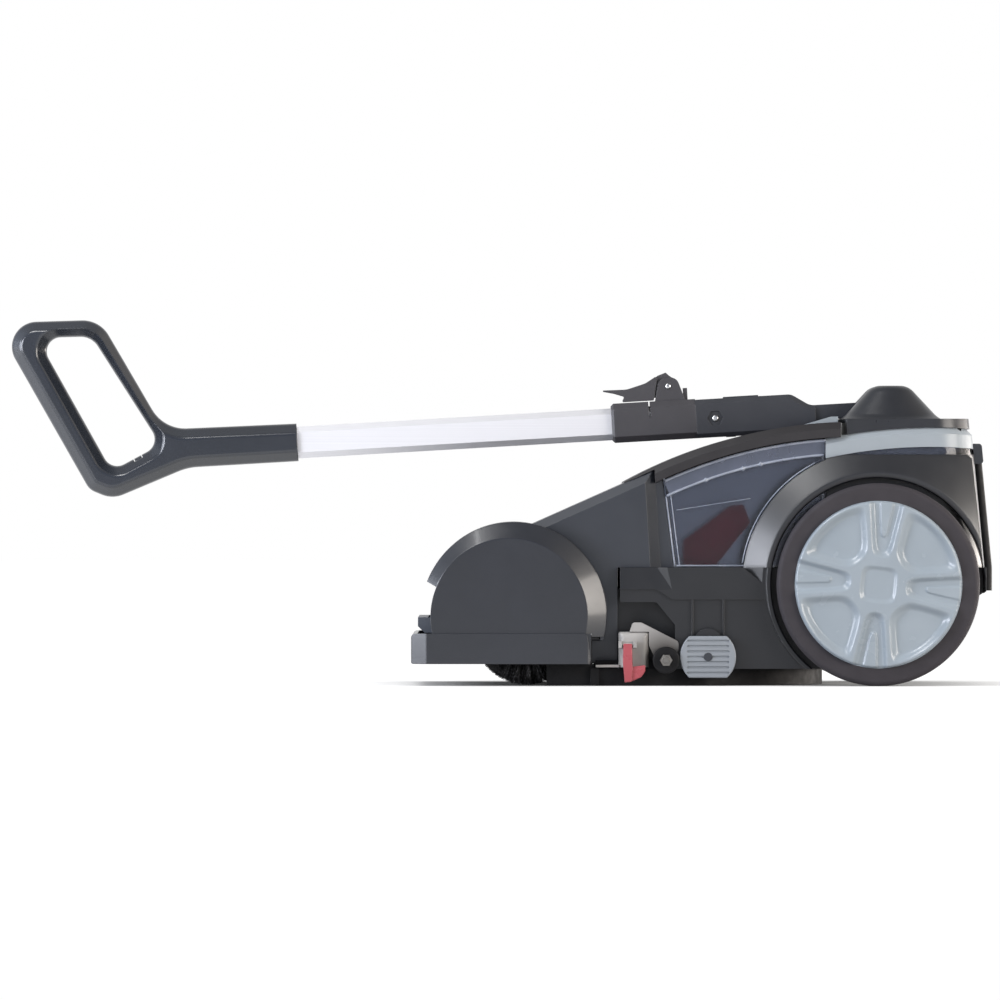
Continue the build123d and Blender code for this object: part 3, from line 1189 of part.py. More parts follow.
def grip_corner(out, up, radius):
    """A rounded corner of the grip from shares of its length."""
    return (-GRIP_IN - out * GRIP_LENGTH, up * GRIP_LENGTH, radius * GRIP_LENGTH)


BUTTON_PLACE = Pos(-GRIP_IN - 0.5424 * GRIP_LENGTH, 0, -0.02 * GRIP_LENGTH) * Rot(0, -BUTTON_TILT, 0)


def grip_edges(part, y, radius):
    """The grip with its long edges at that distance from the middle rounded."""
    found = [
        e for e in part.edges()
        if abs(abs(e.center().Y) - y) < 0.01 and abs(e.center().X + GRIP_IN) > 0.1
    ]
    return fillet(found, radius)


def grip_blank():
    """Loop grip whose sides slope in to a rounded ridge, cut off square at its neck."""
    face = grip_outline(GRIP_IN - GRIP_HALF)
    side = (side_plane(-GRIP_FLAT) * face).faces()[0]
    slope = Solid.extrude_taper(side, (0, GRIP_FLAT - GRIP_HALF, 0), GRIP_SLOPE)
    part = across(face, GRIP_FLAT) + slope + mirrored(slope)
    part -= box(-GRIP_IN, 0, -2 * GRIP_HALF, 2 * GRIP_HALF, -2 * GRIP_NECK, 2 * GRIP_NECK)
    part = grip_edges(part, GRIP_HALF, GRIP_RIDGE_R)
    return grip_edges(part, GRIP_FLAT, GRIP_EDGE_R)


def button_block(side_gap, end_gap):
    """Block across the lower bar, that much clear of the notch's sides and floor."""
    half = BUTTON_WIDTH / 2 + BUTTON_GAP - side_gap
    face = rectangle(-half, half, end_gap - BUTTON_DEPTH, BUTTON_DEPTH)
    return BUTTON_PLACE * across(face, GRIP_HALF / 2 - side_gap)


def make_grip():
    """Moulded loop grip with a socket for the tube and a notch for the button."""
    part = grip_blank() - lengthwise(tube_outline(0), GRIP_IN - 1, TUBE_OUT)
    return part - button_block(0, 0)


def make_button():
    """Drive button in the lower bar, flush with the loop."""
    return grip_blank() & button_block(BUTTON_GAP, BUTTON_TRAVEL + GAP)


# Hinge
def make_dome():
    """Right hinge dome on the rear cover, cut off flat beside the handle."""
    length, height = DOME_LENGTH / 2, DOME_HEIGHT
    part = turned(
        (0, -WALL, 0), (length, -WALL, 0), (length, 0, 0), (0.908 * length, 0.08 * height, 24),
        (0.345 * length, height, 22), (0, height, 0),
    )
    part = scale(part, by=(1, DOME_WIDTH / DOME_LENGTH, 1))
    part = Pos(DOME_X, DOME_IN_Y + DOME_WIDTH / 4, COVER_TOP_Z) * part
    part -= box(0, 2 * DOME_X, -DOME_WIDTH, DOME_IN_Y, 0, 2 * COVER_TOP_Z)
    return part - rod(PIVOT_X, PIVOT_Z, PIN_R, 0, PIN_END_Y)


PIN_END_Y = DOME_IN_Y + DOME_WIDTH / 3


def make_hinge_pin():
    """Pin from one dome to the other."""
    return rod(PIVOT_X, PIVOT_Z, PIN_R, -PIN_END_Y, PIN_END_Y)


# Pieces inside and at the back
def make_lid_latch():
    """Light latch on the lid, two wedges joined under the handle's neck."""
    face = make_face(Polyline(
        (LATCH_X, CHASSIS_TOP_Z), (LATCH_BACK_X, CHASSIS_TOP_Z), (LATCH_BACK_X, LATCH_TOP_Z),
        (LATCH_BACK_X - 2 * WALL, LATCH_TOP_Z), (LATCH_X, LATCH_TOP_Z - 10), close=True,
    ))
    part = across(face - disc(LID_CENTRE, LID_R), LATCH_HALF)
    groove = folded(box(-PIVOT_X, 0, -CHANNEL_HALF, CHANNEL_HALF, -YOKE_LOW - CHANNEL_GAP, DOME_HEIGHT))
    bridge = rectangle(LATCH_BACK_X - 2 * WALL, LATCH_BACK_X, CHASSIS_TOP_Z, LATCH_TOP_Z - WALL)
    return part - groove + (groove & across(bridge, CHANNEL_HALF))


def make_rear_grip():
    """Carry bar across the back, with a socket for the drain pipe."""
    low, high = GRIP_BAR_Z - GRIP_BAR_HEIGHT / 2, GRIP_BAR_Z + GRIP_BAR_HEIGHT / 2
    out = GRIP_BAR_OUT
    face = outline(
        (tail_x(low), low, 0), (tail_x(low) + out, low, 4),
        (tail_x(high) + out, high, 4), (tail_x(high), high, 0),
    )
    return across(face, GRIP_BAR_HALF) - make_pipe()


def make_pipe():
    """Drain pipe held against the back, pushed into the carry bar."""
    top = GRIP_BAR_Z - GRIP_BAR_HEIGHT / 4
    out = PIPE_R + PIPE_GAP
    path = FilletPolyline(
        (tail_x(top) + out, PIPE_Y, top), (TAIL_X + out, PIPE_Y, CHASSIS_TOP_Z),
        (TAIL_X + out, PIPE_Y, PIPE_LOW_Z),
        radius=60,
    )
    start = Plane(origin=path @ 0, z_dir=path % 0)
    return sweep(start * Circle(PIPE_R), path=path)


def make_battery():
    """Battery on the rear plate of the chassis."""
    length, width, height = BATTERY
    part = plate(RectangleRounded(length, width, 2 * WALL), CHASSIS_TOP_Z, CHASSIS_TOP_Z + height)
    return Pos(BATTERY_X, 0, 0) * part


def make_vacuum_motor():
    """Vacuum motor standing on the chassis floor."""
    low = FLOOR_LOW_Z + WALL
    part = Pos(VACUUM_X, 0, 0) * bored(VACUUM_R, low, low + VACUUM_HEIGHT / 2)
    return part + Pos(VACUUM_X, 0, 0) * bored(0.7 * VACUUM_R, low, low + VACUUM_HEIGHT)


def make_basket():
    """Red debris basket that stands in the clear tank."""
    low = CHASSIS_TOP_Z + TANK_WALL
    x = TANK_FRONT_X + 4 * TANK_WALL
    high = low + BASKET_HEIGHT
    face = outline(
        (x, low, 3), (x + 0.5 * BASKET_LENGTH, low, 8), (x + BASKET_LENGTH, low + 0.7 * BASKET_HEIGHT, 8),
        (x + 0.9 * BASKET_LENGTH, high, 5), (x + 0.7 * BASKET_LENGTH, high - 2, 5),
        (x, low + 0.4 * BASKET_HEIGHT, 5),
    )
    return across(face, TANK_HALF / 2)


def save_all(pieces):
    """Write each named piece to its own file."""
    os.makedirs("parts", exist_ok=True)
    for name, piece in pieces.items():
        export_step(piece, f"parts/{name}.step")


nut_places = [wheel_place(side) for side in (-1, 1)]
bolt = make_roller_bolt()
strip = make_splash_strip()
dome = make_dome()
pieces = {
    "chassis_tray": make_chassis(),
    "axle": make_axle(),
    "axle_nuts": Compound([place * make_axle_nut() for place in nut_places]),
    "front_hood": make_hood(),
    "recovery_tank": make_tank(),
    "debris_basket": make_basket(),
    "lid_seal": make_seal(),
    "tank_lid": make_lid(),
    "lid_latch": make_lid_latch(),
    "rear_body": make_rear_body(),
    "solution_tank": make_clean_tank(),
    "rear_trim": make_trim(),
    "rear_cover": make_cover() + dome + mirrored(dome),
    "rear_grip": make_rear_grip(),
    "drain_pipe": make_pipe(),
    "battery_pack": make_battery(),
    "vacuum_motor": make_vacuum_motor(),
    "hinge_pin": make_hinge_pin(),
    "yoke": folded(make_yoke()),
    "yoke_bolt": folded(make_yoke_bolt()),
    "clamp_collar": folded(make_clamp()),
    "clamp_lever": folded(make_lever()),
    "handle_tube": folded(make_tube()),
    "handle_grip": folded(make_grip()),
    "drive_button": folded(make_button()),
    "deck_cover": make_deck(),
    "left_end_cap": make_end_cap(-1),
    "right_end_cap": make_end_cap(1),
    "deck_skirt": make_skirt(),
    "splash_strips": Compound([strip, mirrored(strip)]),
    "brush_core": make_brush_core(),
    "bristles": make_bristles(),
    "brush_pulley": make_pulley(BRUSH, BRUSH_PULLEY_R, BRUSH_AXLE_R),
    "drive_belt": make_belt(),
    "brush_motor": make_brush_motor(),
    "motor_pulley": make_motor_pulley(),
    "debris_hopper": make_hopper(),
    "squeegee_holder": make_holder(),
    "front_blade": make_blade(FRONT_BLADE_R),
    "rear_blade": make_blade(REAR_BLADE_R),
    "lift_rods": Compound([make_lift_rod(*spot) for spot in lift_rod_spots()]),
    "roller_bolts": Compound([bolt, mirrored(bolt)]),
    "pedal": make_pedal() - make_pedal_screw(),
    "pedal_screw": make_pedal_screw(),
    "pedal_carrier": make_carrier(),
}
both_sides = {"carriage": make_carriage() + make_arm(), "clip": make_clip(), "roller": make_roller()}
for name, piece in both_sides.items():
    pieces[f"left_{name}"] = piece
    pieces[f"right_{name}"] = mirrored(piece)
for name, side in (("left", -1), ("right", 1)):
    place = wheel_place(side)
    pieces[f"{name}_tyre"] = place * make_tyre()
    pieces[f"{name}_rim"] = place * make_rim()
    pieces[f"{name}_bush"] = place * make_bush()
    pieces[f"{name}_hub_cap"] = place * make_hub_cap()
save_all(pieces)
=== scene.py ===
import math

import bmesh
import bpy
import numpy as np
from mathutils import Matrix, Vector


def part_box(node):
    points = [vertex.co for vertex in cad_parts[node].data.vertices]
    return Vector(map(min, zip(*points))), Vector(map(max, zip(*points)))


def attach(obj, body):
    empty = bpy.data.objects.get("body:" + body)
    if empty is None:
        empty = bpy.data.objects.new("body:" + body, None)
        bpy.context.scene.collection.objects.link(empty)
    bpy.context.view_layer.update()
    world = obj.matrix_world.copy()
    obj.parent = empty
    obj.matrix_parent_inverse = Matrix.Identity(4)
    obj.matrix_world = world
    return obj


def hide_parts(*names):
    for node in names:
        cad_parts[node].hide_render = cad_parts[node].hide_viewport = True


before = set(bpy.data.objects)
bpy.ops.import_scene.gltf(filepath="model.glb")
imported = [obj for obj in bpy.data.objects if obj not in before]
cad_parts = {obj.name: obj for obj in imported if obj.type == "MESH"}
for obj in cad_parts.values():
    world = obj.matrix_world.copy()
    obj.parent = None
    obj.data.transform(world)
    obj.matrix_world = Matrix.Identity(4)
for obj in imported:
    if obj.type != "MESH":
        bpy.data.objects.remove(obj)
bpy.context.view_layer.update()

MM = 0.001

# Places on the machine as the solids have them, in millimetres and degrees. Pairs are X and Z.
AXLE = (446.0, 120.0)
CAP_R = 98.0
CAP_BACK_Y = 208.0
CAP_PLATE = 3.0
CAP_RISE = 4.0
CAP_TURN = 6.0
BRUSH = (30.0, 64.0)
BRUSH_R = 64.0
CORE_R = 38.0
BRUSH_HALF = 165.0
LID_ARC = (423.0, -261.0)
LID_FOOT_R = 556.0
RIM_BAND_R = 536.0
TANK_SIDE_Y = 147.0
RIM_SIDE_Y = TANK_SIDE_Y + 1.5
TANK_FOOT = (205.0, 140.0)
TANK_LEAN = 15.0 / 119.7
ARCH_R = 160.0
HINGE = (468.0, 330.0)
HANDLE_FALL = 3.31
# Distance from the hinge along the handle, and height over the handle
LEVER_PIN = (266.0, 41.4)
EAR_Y = 13.0
ROLLER = (195.3, 30.5)

# Span that holds most values of Blender's noise
NOISE_SPAN = (0.3, 0.7)


# Colour and node helpers
def linear(hexcode):
    """An sRGB hex value as linear light: each channel through the standard sRGB curve."""
    srgb = np.array([int(hexcode[i:i + 2], 16) for i in (1, 3, 5)]) / 255
    rgb = np.where(srgb <= 0.04045, srgb / 12.92, ((srgb + 0.055) / 1.055) ** 2.4)
    return (*rgb.tolist(), 1.0)


def add(tree, kind, settings=(), links=()):
    """Add one node, set its sockets or properties by name, and link outputs into its sockets."""
    node = tree.nodes.new(kind)
    for name, value in dict(settings).items():
        if isinstance(name, int) or name in node.inputs:
            node.inputs[name].default_value = value
        else:
            setattr(node, name, value)
    for name, output in dict(links).items():
        tree.links.new(output, node.inputs[name])
    return node


def finish_of(name):
    """A new material with its shader and the object coordinates that its patterns read."""
    material = bpy.data.materials.new(name)
    material.use_nodes = True
    tree = material.node_tree
    shader = tree.nodes["Principled BSDF"]
    place = add(tree, "ShaderNodeTexCoord").outputs["Object"]
    return material, tree, shader, place


def set_shader(shader, **values):
    """Set constant values on the shader's own sockets, with underscores for spaces."""
    for name, value in values.items():
        shader.inputs[name.replace("_", " ")].default_value = value


def shade(tree, shader, place, dark, light, patch_mm):
    """Slow drift between two near colours, from soft noise with patches of that size."""
    cloud = add(tree, "ShaderNodeTexNoise", {"Scale": 1 / (patch_mm * MM), "Detail": 3.0},
                {"Vector": place})
    ramp = add(tree, "ShaderNodeValToRGB", {}, {"Fac": cloud.outputs["Fac"]})
    for element, share, tone in zip(ramp.color_ramp.elements, NOISE_SPAN, (dark, light)):
        element.position = share
        element.color = linear(tone)
    tree.links.new(ramp.outputs["Color"], shader.inputs["Base Color"])
    return ramp


def roughen(tree, shader, place, low, high, patch_mm):
    """Gloss that drifts between two roughness values over patches of that size."""
    cloud = add(tree, "ShaderNodeTexNoise", {"Scale": 1 / (patch_mm * MM), "Detail": 4.0},
                {"Vector": place})
    spread = add(tree, "ShaderNodeMapRange",
                 {"From Min": NOISE_SPAN[0], "From Max": NOISE_SPAN[1],
                  "To Min": low, "To Max": high},
                 {"Value": cloud.outputs["Fac"]})
    tree.links.new(spread.outputs["Result"], shader.inputs["Roughness"])


def grain(tree, shader, place, pitch_mm, depth_mm, detail=2.0, edge_mm=0.9):
    """Fine raised texture of that pitch and depth, over edges softened by a radius."""
    speckle = add(tree, "ShaderNodeTexNoise", {"Scale": 1 / (pitch_mm * MM), "Detail": detail},
                  {"Vector": place})
    edge = add(tree, "ShaderNodeBevel", {"samples": 6, "Radius": edge_mm * MM})
    bump = add(tree, "ShaderNodeBump", {"Strength": 1.0, "Distance": depth_mm * MM},
               {"Height": speckle.outputs["Fac"], "Normal": edge.outputs["Normal"]})
    tree.links.new(bump.outputs["Normal"], shader.inputs["Normal"])


def moulded(name, dark, light, rough, pitch_mm=1.3, depth_mm=0.05, coat=0.0, coat_rough=0.12,
            edge_mm=0.9, shine=0.5):
    """ABS moulded in a spark-eroded tool: fine even grain, drawn at 1.3 mm so that it shows. Tone
    and gloss drift a little over the wide patches that a mould leaves."""
    tone_patch_mm, gloss_patch_mm, gloss_drift = 60.0, 25.0, 0.05
    material, tree, shader, place = finish_of(name)
    set_shader(shader, IOR=1.5, Specular_IOR_Level=shine, Coat_Weight=coat,
               Coat_Roughness=coat_rough)
    shade(tree, shader, place, dark, light, tone_patch_mm)
    roughen(tree, shader, place, rough - gloss_drift, rough + gloss_drift, gloss_patch_mm)
    grain(tree, shader, place, pitch_mm, depth_mm, edge_mm=edge_mm)
    return material


# Finishes
# Dark satin mouldings: the grain breaks highlights up, and an even grey is left
dark_abs = moulded("dark_moulded_abs", "#252931", "#292d35", 0.42, coat=0.3, coat_rough=0.4)
lid_abs = moulded("brown_grey_lid_abs", "#1d1b1e", "#211f22", 0.46)
satin_abs = moulded("satin_dome_abs", "#23252a", "#27292f", 0.32, depth_mm=0.03)
deck_abs = moulded("deck_end_abs", "#1b1e25", "#1f222a", 0.34, depth_mm=0.03, coat=0.5)
hopper_abs = moulded("worn_hopper_abs", "#4a4f58", "#555a63", 0.4, pitch_mm=1.4, depth_mm=0.03)
# Glass-filled nylon of the handle's fittings: finer grain and a little paler
nylon = moulded("filled_nylon", "#2e3036", "#33353b", 0.42, pitch_mm=0.9)
collar_nylon = moulded("worn_filled_nylon", "#3d3c40", "#434246", 0.42, pitch_mm=0.9)
# Polished grip: nearly smooth, so it mirrors the room along its edges
slate_abs = moulded("polished_slate_abs", "#23272e", "#272b33", 0.22, pitch_mm=3.0, depth_mm=0.006,
                    coat=0.4, edge_mm=2.0)
# Low and rear mouldings: near black, and gloss mainly where light grazes them
chassis_abs = moulded("chassis_abs", "#0f1116", "#13151a", 0.45, depth_mm=0.03, coat=0.12,
                      coat_rough=0.38)
# Squeegee holder: darker than the other low mouldings, a painted shade of the space under the
# machine
holder_shade_abs = moulded("holder_abs_painted_shade", "#0b0c0f", "#0f1013", 0.55, depth_mm=0.03, shine=0.12)
body_abs = moulded("rear_body_abs", "#0e1016", "#12141a", 0.36, depth_mm=0.02, coat=0.8,
                   coat_rough=0.3, edge_mm=6.0)
# Pale and red mouldings: shallow grain, so light runs over them smoothly
hub_abs = moulded("grey_hub_abs", "#97a2ac", "#9da8b2", 0.24, pitch_mm=1.6, depth_mm=0.003)
pedal_abs = moulded("grey_pedal_abs", "#8b9199", "#92989f", 0.4, pitch_mm=1.4, depth_mm=0.03)
trim_abs = moulded("pale_trim_abs", "#9aa3aa", "#a0a8b0", 0.33, pitch_mm=1.6, depth_mm=0.005)
red_abs = moulded("red_abs", "#a84b53", "#b1545c", 0.3, pitch_mm=1.4, depth_mm=0.01)


def shaded_warm_abs():
    """Warm grey ABS with painted shade: darker towards each side roller, where the lift arm lies in
    shade, fading out 48 mm from it.
    """
    shade_from_mm, shade_to_mm = 14.0, 48.0
    material = moulded("warm_grey_abs", "#a8a6a5", "#aeacaa", 0.42, pitch_mm=1.2, depth_mm=0.04)
    tree = material.node_tree
    shader = tree.nodes["Principled BSDF"]
    unshaded = shader.inputs["Base Color"].links[0].from_socket
    place = add(tree, "ShaderNodeTexCoord").outputs["Object"]
    from_roller = add(tree, "ShaderNodeMapping",
                      {"Location": (-ROLLER[0] * MM, 0, -ROLLER[1] * MM), "Scale": (1, 0, 1)},
                      {"Vector": place})
    distance = add(tree, "ShaderNodeVectorMath", {"operation": "LENGTH"},
                   {0: from_roller.outputs["Vector"]})
    fade = add(tree, "ShaderNodeMapRange",
               {"From Min": shade_from_mm * MM, "From Max": shade_to_mm * MM},
               {"Value": distance.outputs["Value"]})
    # Painted shade: a dark brown-grey over the arm near the roller, standing in for the shade that
    # falls there
    painted_shade = add(tree, "ShaderNodeMix", {"data_type": "RGBA", 6: linear("#45423f")},
                {0: fade.outputs["Result"], 7: unshaded})
    tree.links.new(painted_shade.outputs[2], shader.inputs["Base Color"])
    return material


def red_basket():
    """Thin red polypropylene that lets light through, so it glows a little against the light."""
    material = moulded("translucent_red_polypropylene", "#f8606e", "#ff6a78", 0.4, pitch_mm=1.4,
                       depth_mm=0.02)
    set_shader(material.node_tree.nodes["Principled BSDF"], Transmission_Weight=0.85)
    return material


def tyre_rubber():
    """Vulcanised tyre rubber: matt, slightly brown, with dust-soft mottling."""
    material, tree, shader, place = finish_of("tyre_rubber")
    set_shader(shader, IOR=1.52, Specular_IOR_Level=0.35)
    shade(tree, shader, place, "#302d32", "#373439", patch_mm=18.0)
    roughen(tree, shader, place, 0.62, 0.78, patch_mm=9.0)
    grain(tree, shader, place, pitch_mm=0.8, depth_mm=0.05, detail=3.0)
    return material


def soft_rubber():
    """EPDM strip for blades and seals: near black, low gloss."""
    material, tree, shader, place = finish_of("epdm_rubber")
    set_shader(shader, IOR=1.5, Specular_IOR_Level=0.2)
    shade(tree, shader, place, "#0f0f11", "#151517", patch_mm=15.0)
    roughen(tree, shader, place, 0.5, 0.65, patch_mm=8.0)
    grain(tree, shader, place, pitch_mm=0.7, depth_mm=0.03)
    return material


def anodised_tube():
    """Drawn aluminium, clear anodised: bright, with faint draw lines along the tube."""
    material, tree, shader, place = finish_of("anodised_aluminium")
    set_shader(shader, Metallic=0.6)
    # The lines fall towards the grip as the tube does. Real ones are finer: 1 mm makes them show.
    line_length_mm, line_pitch_mm = 400.0, 1.0
    across = 1 / (line_pitch_mm * MM)
    along = add(tree, "ShaderNodeMapping",
                {"Rotation": (0, math.radians(HANDLE_FALL), 0),
                 "Scale": (1 / (line_length_mm * MM), across, across)}, {"Vector": place})
    lines = add(tree, "ShaderNodeTexNoise", {"Scale": 1.0, "Detail": 3.0},
                {"Vector": along.outputs["Vector"]})
    tone = add(tree, "ShaderNodeValToRGB", {}, {"Fac": lines.outputs["Fac"]})
    tone.color_ramp.elements[0].color = linear("#dfdfe3")
    tone.color_ramp.elements[1].color = linear("#ececef")
    tree.links.new(tone.outputs["Color"], shader.inputs["Base Color"])
    spread = add(tree, "ShaderNodeMapRange", {"To Min": 0.42, "To Max": 0.5},
                 {"Value": lines.outputs["Fac"]})
    tree.links.new(spread.outputs["Result"], shader.inputs["Roughness"])
    bump = add(tree, "ShaderNodeBump", {"Distance": 0.01 * MM}, {"Height": lines.outputs["Fac"]})
    tree.links.new(bump.outputs["Normal"], shader.inputs["Normal"])
    return material


def plated_metal(name, dark, light, rough):
    """Zinc-plated steel or sintered bronze: metal whose gloss changes over fine turning marks."""
    material, tree, shader, place = finish_of(name)
    set_shader(shader, Metallic=1.0)
    shade(tree, shader, place, dark, light, patch_mm=6.0)
    roughen(tree, shader, place, rough - 0.05, rough + 0.08, patch_mm=3.0)
    return material


def smoked_polycarbonate():
    """Blow-moulded smoked polycarbonate: clear blue-grey, a little hazy, with wavy walls."""
    haze_patch_mm, wave_mm = 60.0, 35.0
    material, tree, shader, place = finish_of("smoked_polycarbonate")
    set_shader(shader, IOR=1.45, Transmission_Weight=1.0)
    shade(tree, shader, place, "#868b98", "#9095a2", patch_mm=90.0)
    haze = add(tree, "ShaderNodeTexNoise", {"Scale": 1 / (haze_patch_mm * MM), "Detail": 0.0},
               {"Vector": place})
    spread = add(tree, "ShaderNodeMapRange", {"To Min": 0.12, "To Max": 0.16},
                 {"Value": haze.outputs["Fac"]})
    tree.links.new(spread.outputs["Result"], shader.inputs["Roughness"])
    wave = add(tree, "ShaderNodeTexNoise", {"Scale": 1 / (wave_mm * MM), "Detail": 0.0},
               {"Vector": place})
    bump = add(tree, "ShaderNodeBump", {"Distance": 0.1 * MM}, {"Height": wave.outputs["Fac"]})
    tree.links.new(bump.outputs["Normal"], shader.inputs["Normal"])
    return material


def clear_edge(name, dark, light, through):
    """Thick clear polycarbonate, part opaque and paler than the walls. On the tank's beads the pale
    colour is a painted highlight, standing in for the light that thick clear edges gather.
    """
    material, tree, shader, place = finish_of(name)
    set_shader(shader, IOR=1.58, Transmission_Weight=through)
    shade(tree, shader, place, dark, light, patch_mm=22.0)
    roughen(tree, shader, place, 0.2, 0.3, patch_mm=20.0)
    return material


def nylon_bristle():
    """Extruded nylon filament: dark with a soft sheen and paler ends here and there."""
    material, tree, shader, place = finish_of("nylon_filament")
    set_shader(shader, IOR=1.53)
    strands = shade(tree, shader, place, "#101012", "#6e6c70", patch_mm=4.0)
    strands.color_ramp.elements[0].position = 0.5
    roughen(tree, shader, place, 0.35, 0.5, patch_mm=6.0)
    return material


warm_abs = shaded_warm_abs()
basket_red = red_basket()
tyre = tyre_rubber()
epdm = soft_rubber()
aluminium = anodised_tube()
steel = plated_metal("zinc_plated_steel", "#b9babc", "#d4d5d6", 0.24)
worn_zinc = plated_metal("worn_zinc_nut", "#85827e", "#85827e", 0.34)
bronze = plated_metal("sintered_bronze", "#a9814d", "#a9814d", 0.4)
smoked = smoked_polycarbonate()
# Pale bead colour: painted highlight along the tank's moulded edges
bead_highlight_clear = clear_edge("clear_edge_painted_highlight", "#a0a9be", "#c0c8d8", 0.3)
hazed_clear = clear_edge("hazed_polycarbonate_rim", "#70788b", "#7c849a", 0.5)
filament = nylon_bristle()

# Finish of every solid, those behind a finer piece included
NODE_FINISH = {
    dark_abs: ("front_hood", "rear_grip", "deck_cover", "brush_motor", "vacuum_motor",
               "battery_pack", "brush_core", "pedal_screw", "motor_pulley", "brush_pulley"),
    holder_shade_abs: ("squeegee_holder",),
    chassis_abs: ("chassis_tray", "pedal_carrier"),
    body_abs: ("rear_body",),
    deck_abs: ("left_end_cap", "right_end_cap", "deck_skirt"),
    lid_abs: ("tank_lid",),
    nylon: ("yoke",),
    collar_nylon: ("clamp_collar", "clamp_lever"),
    slate_abs: ("handle_grip", "drive_button"),
    aluminium: ("handle_tube",),
    tyre: ("left_tyre", "right_tyre"),
    hub_abs: ("left_hub_cap", "right_hub_cap", "left_rim", "right_rim"),
    pedal_abs: ("pedal",),
    trim_abs: ("rear_trim", "lid_latch"),
    warm_abs: ("left_carriage", "right_carriage"),
    smoked: ("recovery_tank", "solution_tank"),
    red_abs: ("left_clip", "right_clip"),
    basket_red: ("debris_basket",),
    hopper_abs: ("debris_hopper",),
    satin_abs: ("rear_cover",),
    steel: ("axle", "axle_nuts", "hinge_pin", "yoke_bolt", "lift_rods", "roller_bolts"),
    epdm: ("lid_seal", "splash_strips", "drive_belt", "front_blade", "rear_blade",
           "left_roller", "right_roller", "drain_pipe"),
    filament: ("bristles",),
    bronze: ("left_bush", "right_bush"),
}
for finish, names in NODE_FINISH.items():
    for name in names:
        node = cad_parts[name]
        node.data.materials.clear()
        node.data.materials.append(finish)


# Mesh helpers
def mesh_piece(name, points, faces, finish, body, slot, smooth=True, closed=True):
    """One object at the origin from points in millimetres and faces, riding on a body."""
    mesh = bpy.data.meshes.new(name)
    mesh.from_pydata((np.asarray(points, float) * MM).tolist(), [], faces)
    mesh.validate()
    if closed:
        solid = bmesh.new()
        solid.from_mesh(mesh)
        bmesh.ops.recalc_face_normals(solid, faces=solid.faces)
        solid.to_mesh(mesh)
        solid.free()
    mesh.polygons.foreach_set("use_smooth", np.full(len(mesh.polygons), smooth))
    mesh.materials.append(finish)
    piece = bpy.data.objects.new(name, mesh)
    bpy.context.scene.collection.objects.link(piece)
    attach(piece, body)
    return piece


def joined(*shapes):
    """Several sets of points and faces as one set."""
    starts = np.cumsum([0] + [len(points) for points, _ in shapes]).tolist()
    faces = [[i + start for i in face] for (_, some), start in zip(shapes, starts) for face in some]
    return np.concatenate([points for points, _ in shapes]), faces


def ringed_faces(rows, columns):
    """Quads between neighbours of a grid whose columns close into rings, with the first and the
    last ring closed by a face each."""
    here = np.arange(rows * columns).reshape(rows, columns)
    beside = np.roll(here, -1, 1)
    quads = np.stack([here[:-1], beside[:-1], beside[1:], here[1:]], -1).reshape(-1, 4)
    return quads.tolist() + [here[0, ::-1].tolist(), here[-1].tolist()]


def carried(path, first, second, profile):
    """A closed profile carried along a path: each path point plus the profile's two measures
    along two directions, with both ends closed."""
    path = np.asarray(path, float)
    first, second = (np.broadcast_to(way, path.shape)[:, None] for way in (first, second))
    points = path[:, None] + first * profile[..., :1] + second * profile[..., 1:]
    return points.reshape(-1, 3), ringed_faces(*points.shape[:2])


# Hub caps
def soft_max(*values, blend=4.0):
    """Largest of several distances with the corner between them rounded by the blend."""
    stack = np.stack(np.broadcast_arrays(*values))
    return blend * np.log(np.exp(stack / blend).sum(0))


def ramp_down(distance, width):
    """1 well inside a pocket, 0 well outside, along a smooth cubic across its wall."""
    t = np.clip(0.5 - distance / width, 0, 1)
    return t * t * (3 - 2 * t)


def turned(x, y, degrees):
    """The same points measured along and across a line at that angle."""
    cos, sin = math.cos(math.radians(degrees)), math.sin(math.radians(degrees))
    return x * cos + y * sin, y * cos - x * sin


def line_distance(along, across, start, end):
    """Signed distance outside a line through two points, given in shares of the cap's radius, and
    its mirror image about the axis."""
    (a0, b0), (a1, b1) = np.array([start, end]) * CAP_R
    length = math.hypot(a1 - a0, b1 - b0)
    return ((np.abs(across) - b0) * (a1 - a0) - (along - a0) * (b1 - b0)) / length


def cap_height(x, y):
    """Height over the cap's back: a plateau less four bays, four open slots with a tongue in
    each, and a square middle. Each pocket is a rounded signed distance through a soft wall."""
    slot_depth, slot_wall = 5.4, 7.0
    tongue_rise, tongue_wall = 2.2, 2.5
    bay_depth, bay_wall = 6.4, 10.0
    middle_depth, middle_wall, middle_half = 3.2, 6.0, 0.2 * CAP_R
    edge_width, edge_drop = 2.5, 1.6
    depth = np.zeros_like(x)
    radius = np.hypot(x, y)
    for quarter in (0, 90, 180, 270):
        along, across = turned(x, y, quarter)
        slot = soft_max(line_distance(along, across, (0.35, 0.085), (1.0, 0.185)),
                        0.355 * CAP_R - along)
        tongue = soft_max(line_distance(along, across, (0.6, 0.035), (1.0, 0.085)),
                          0.57 * CAP_R - along, blend=2.0)
        slot = slot_depth * ramp_down(slot, slot_wall)
        slot -= tongue_rise * ramp_down(tongue, tongue_wall)
        along, across = turned(x, y, quarter + 45)
        bay = soft_max(line_distance(along, across, (0.39, 0.115), (1.0, 0.545)),
                       radius - 0.93 * CAP_R, 0.4 * CAP_R - along)
        depth = np.maximum.reduce([depth, slot, bay_depth * ramp_down(bay, bay_wall)])
    middle = soft_max(np.abs(x) - middle_half, np.abs(y) - middle_half)
    depth = np.maximum(depth, middle_depth * ramp_down(middle, middle_wall))
    edge = np.clip((radius - (CAP_R - edge_width)) / edge_width, 0, 1)
    return CAP_PLATE + CAP_RISE - depth - edge_drop * edge ** 2


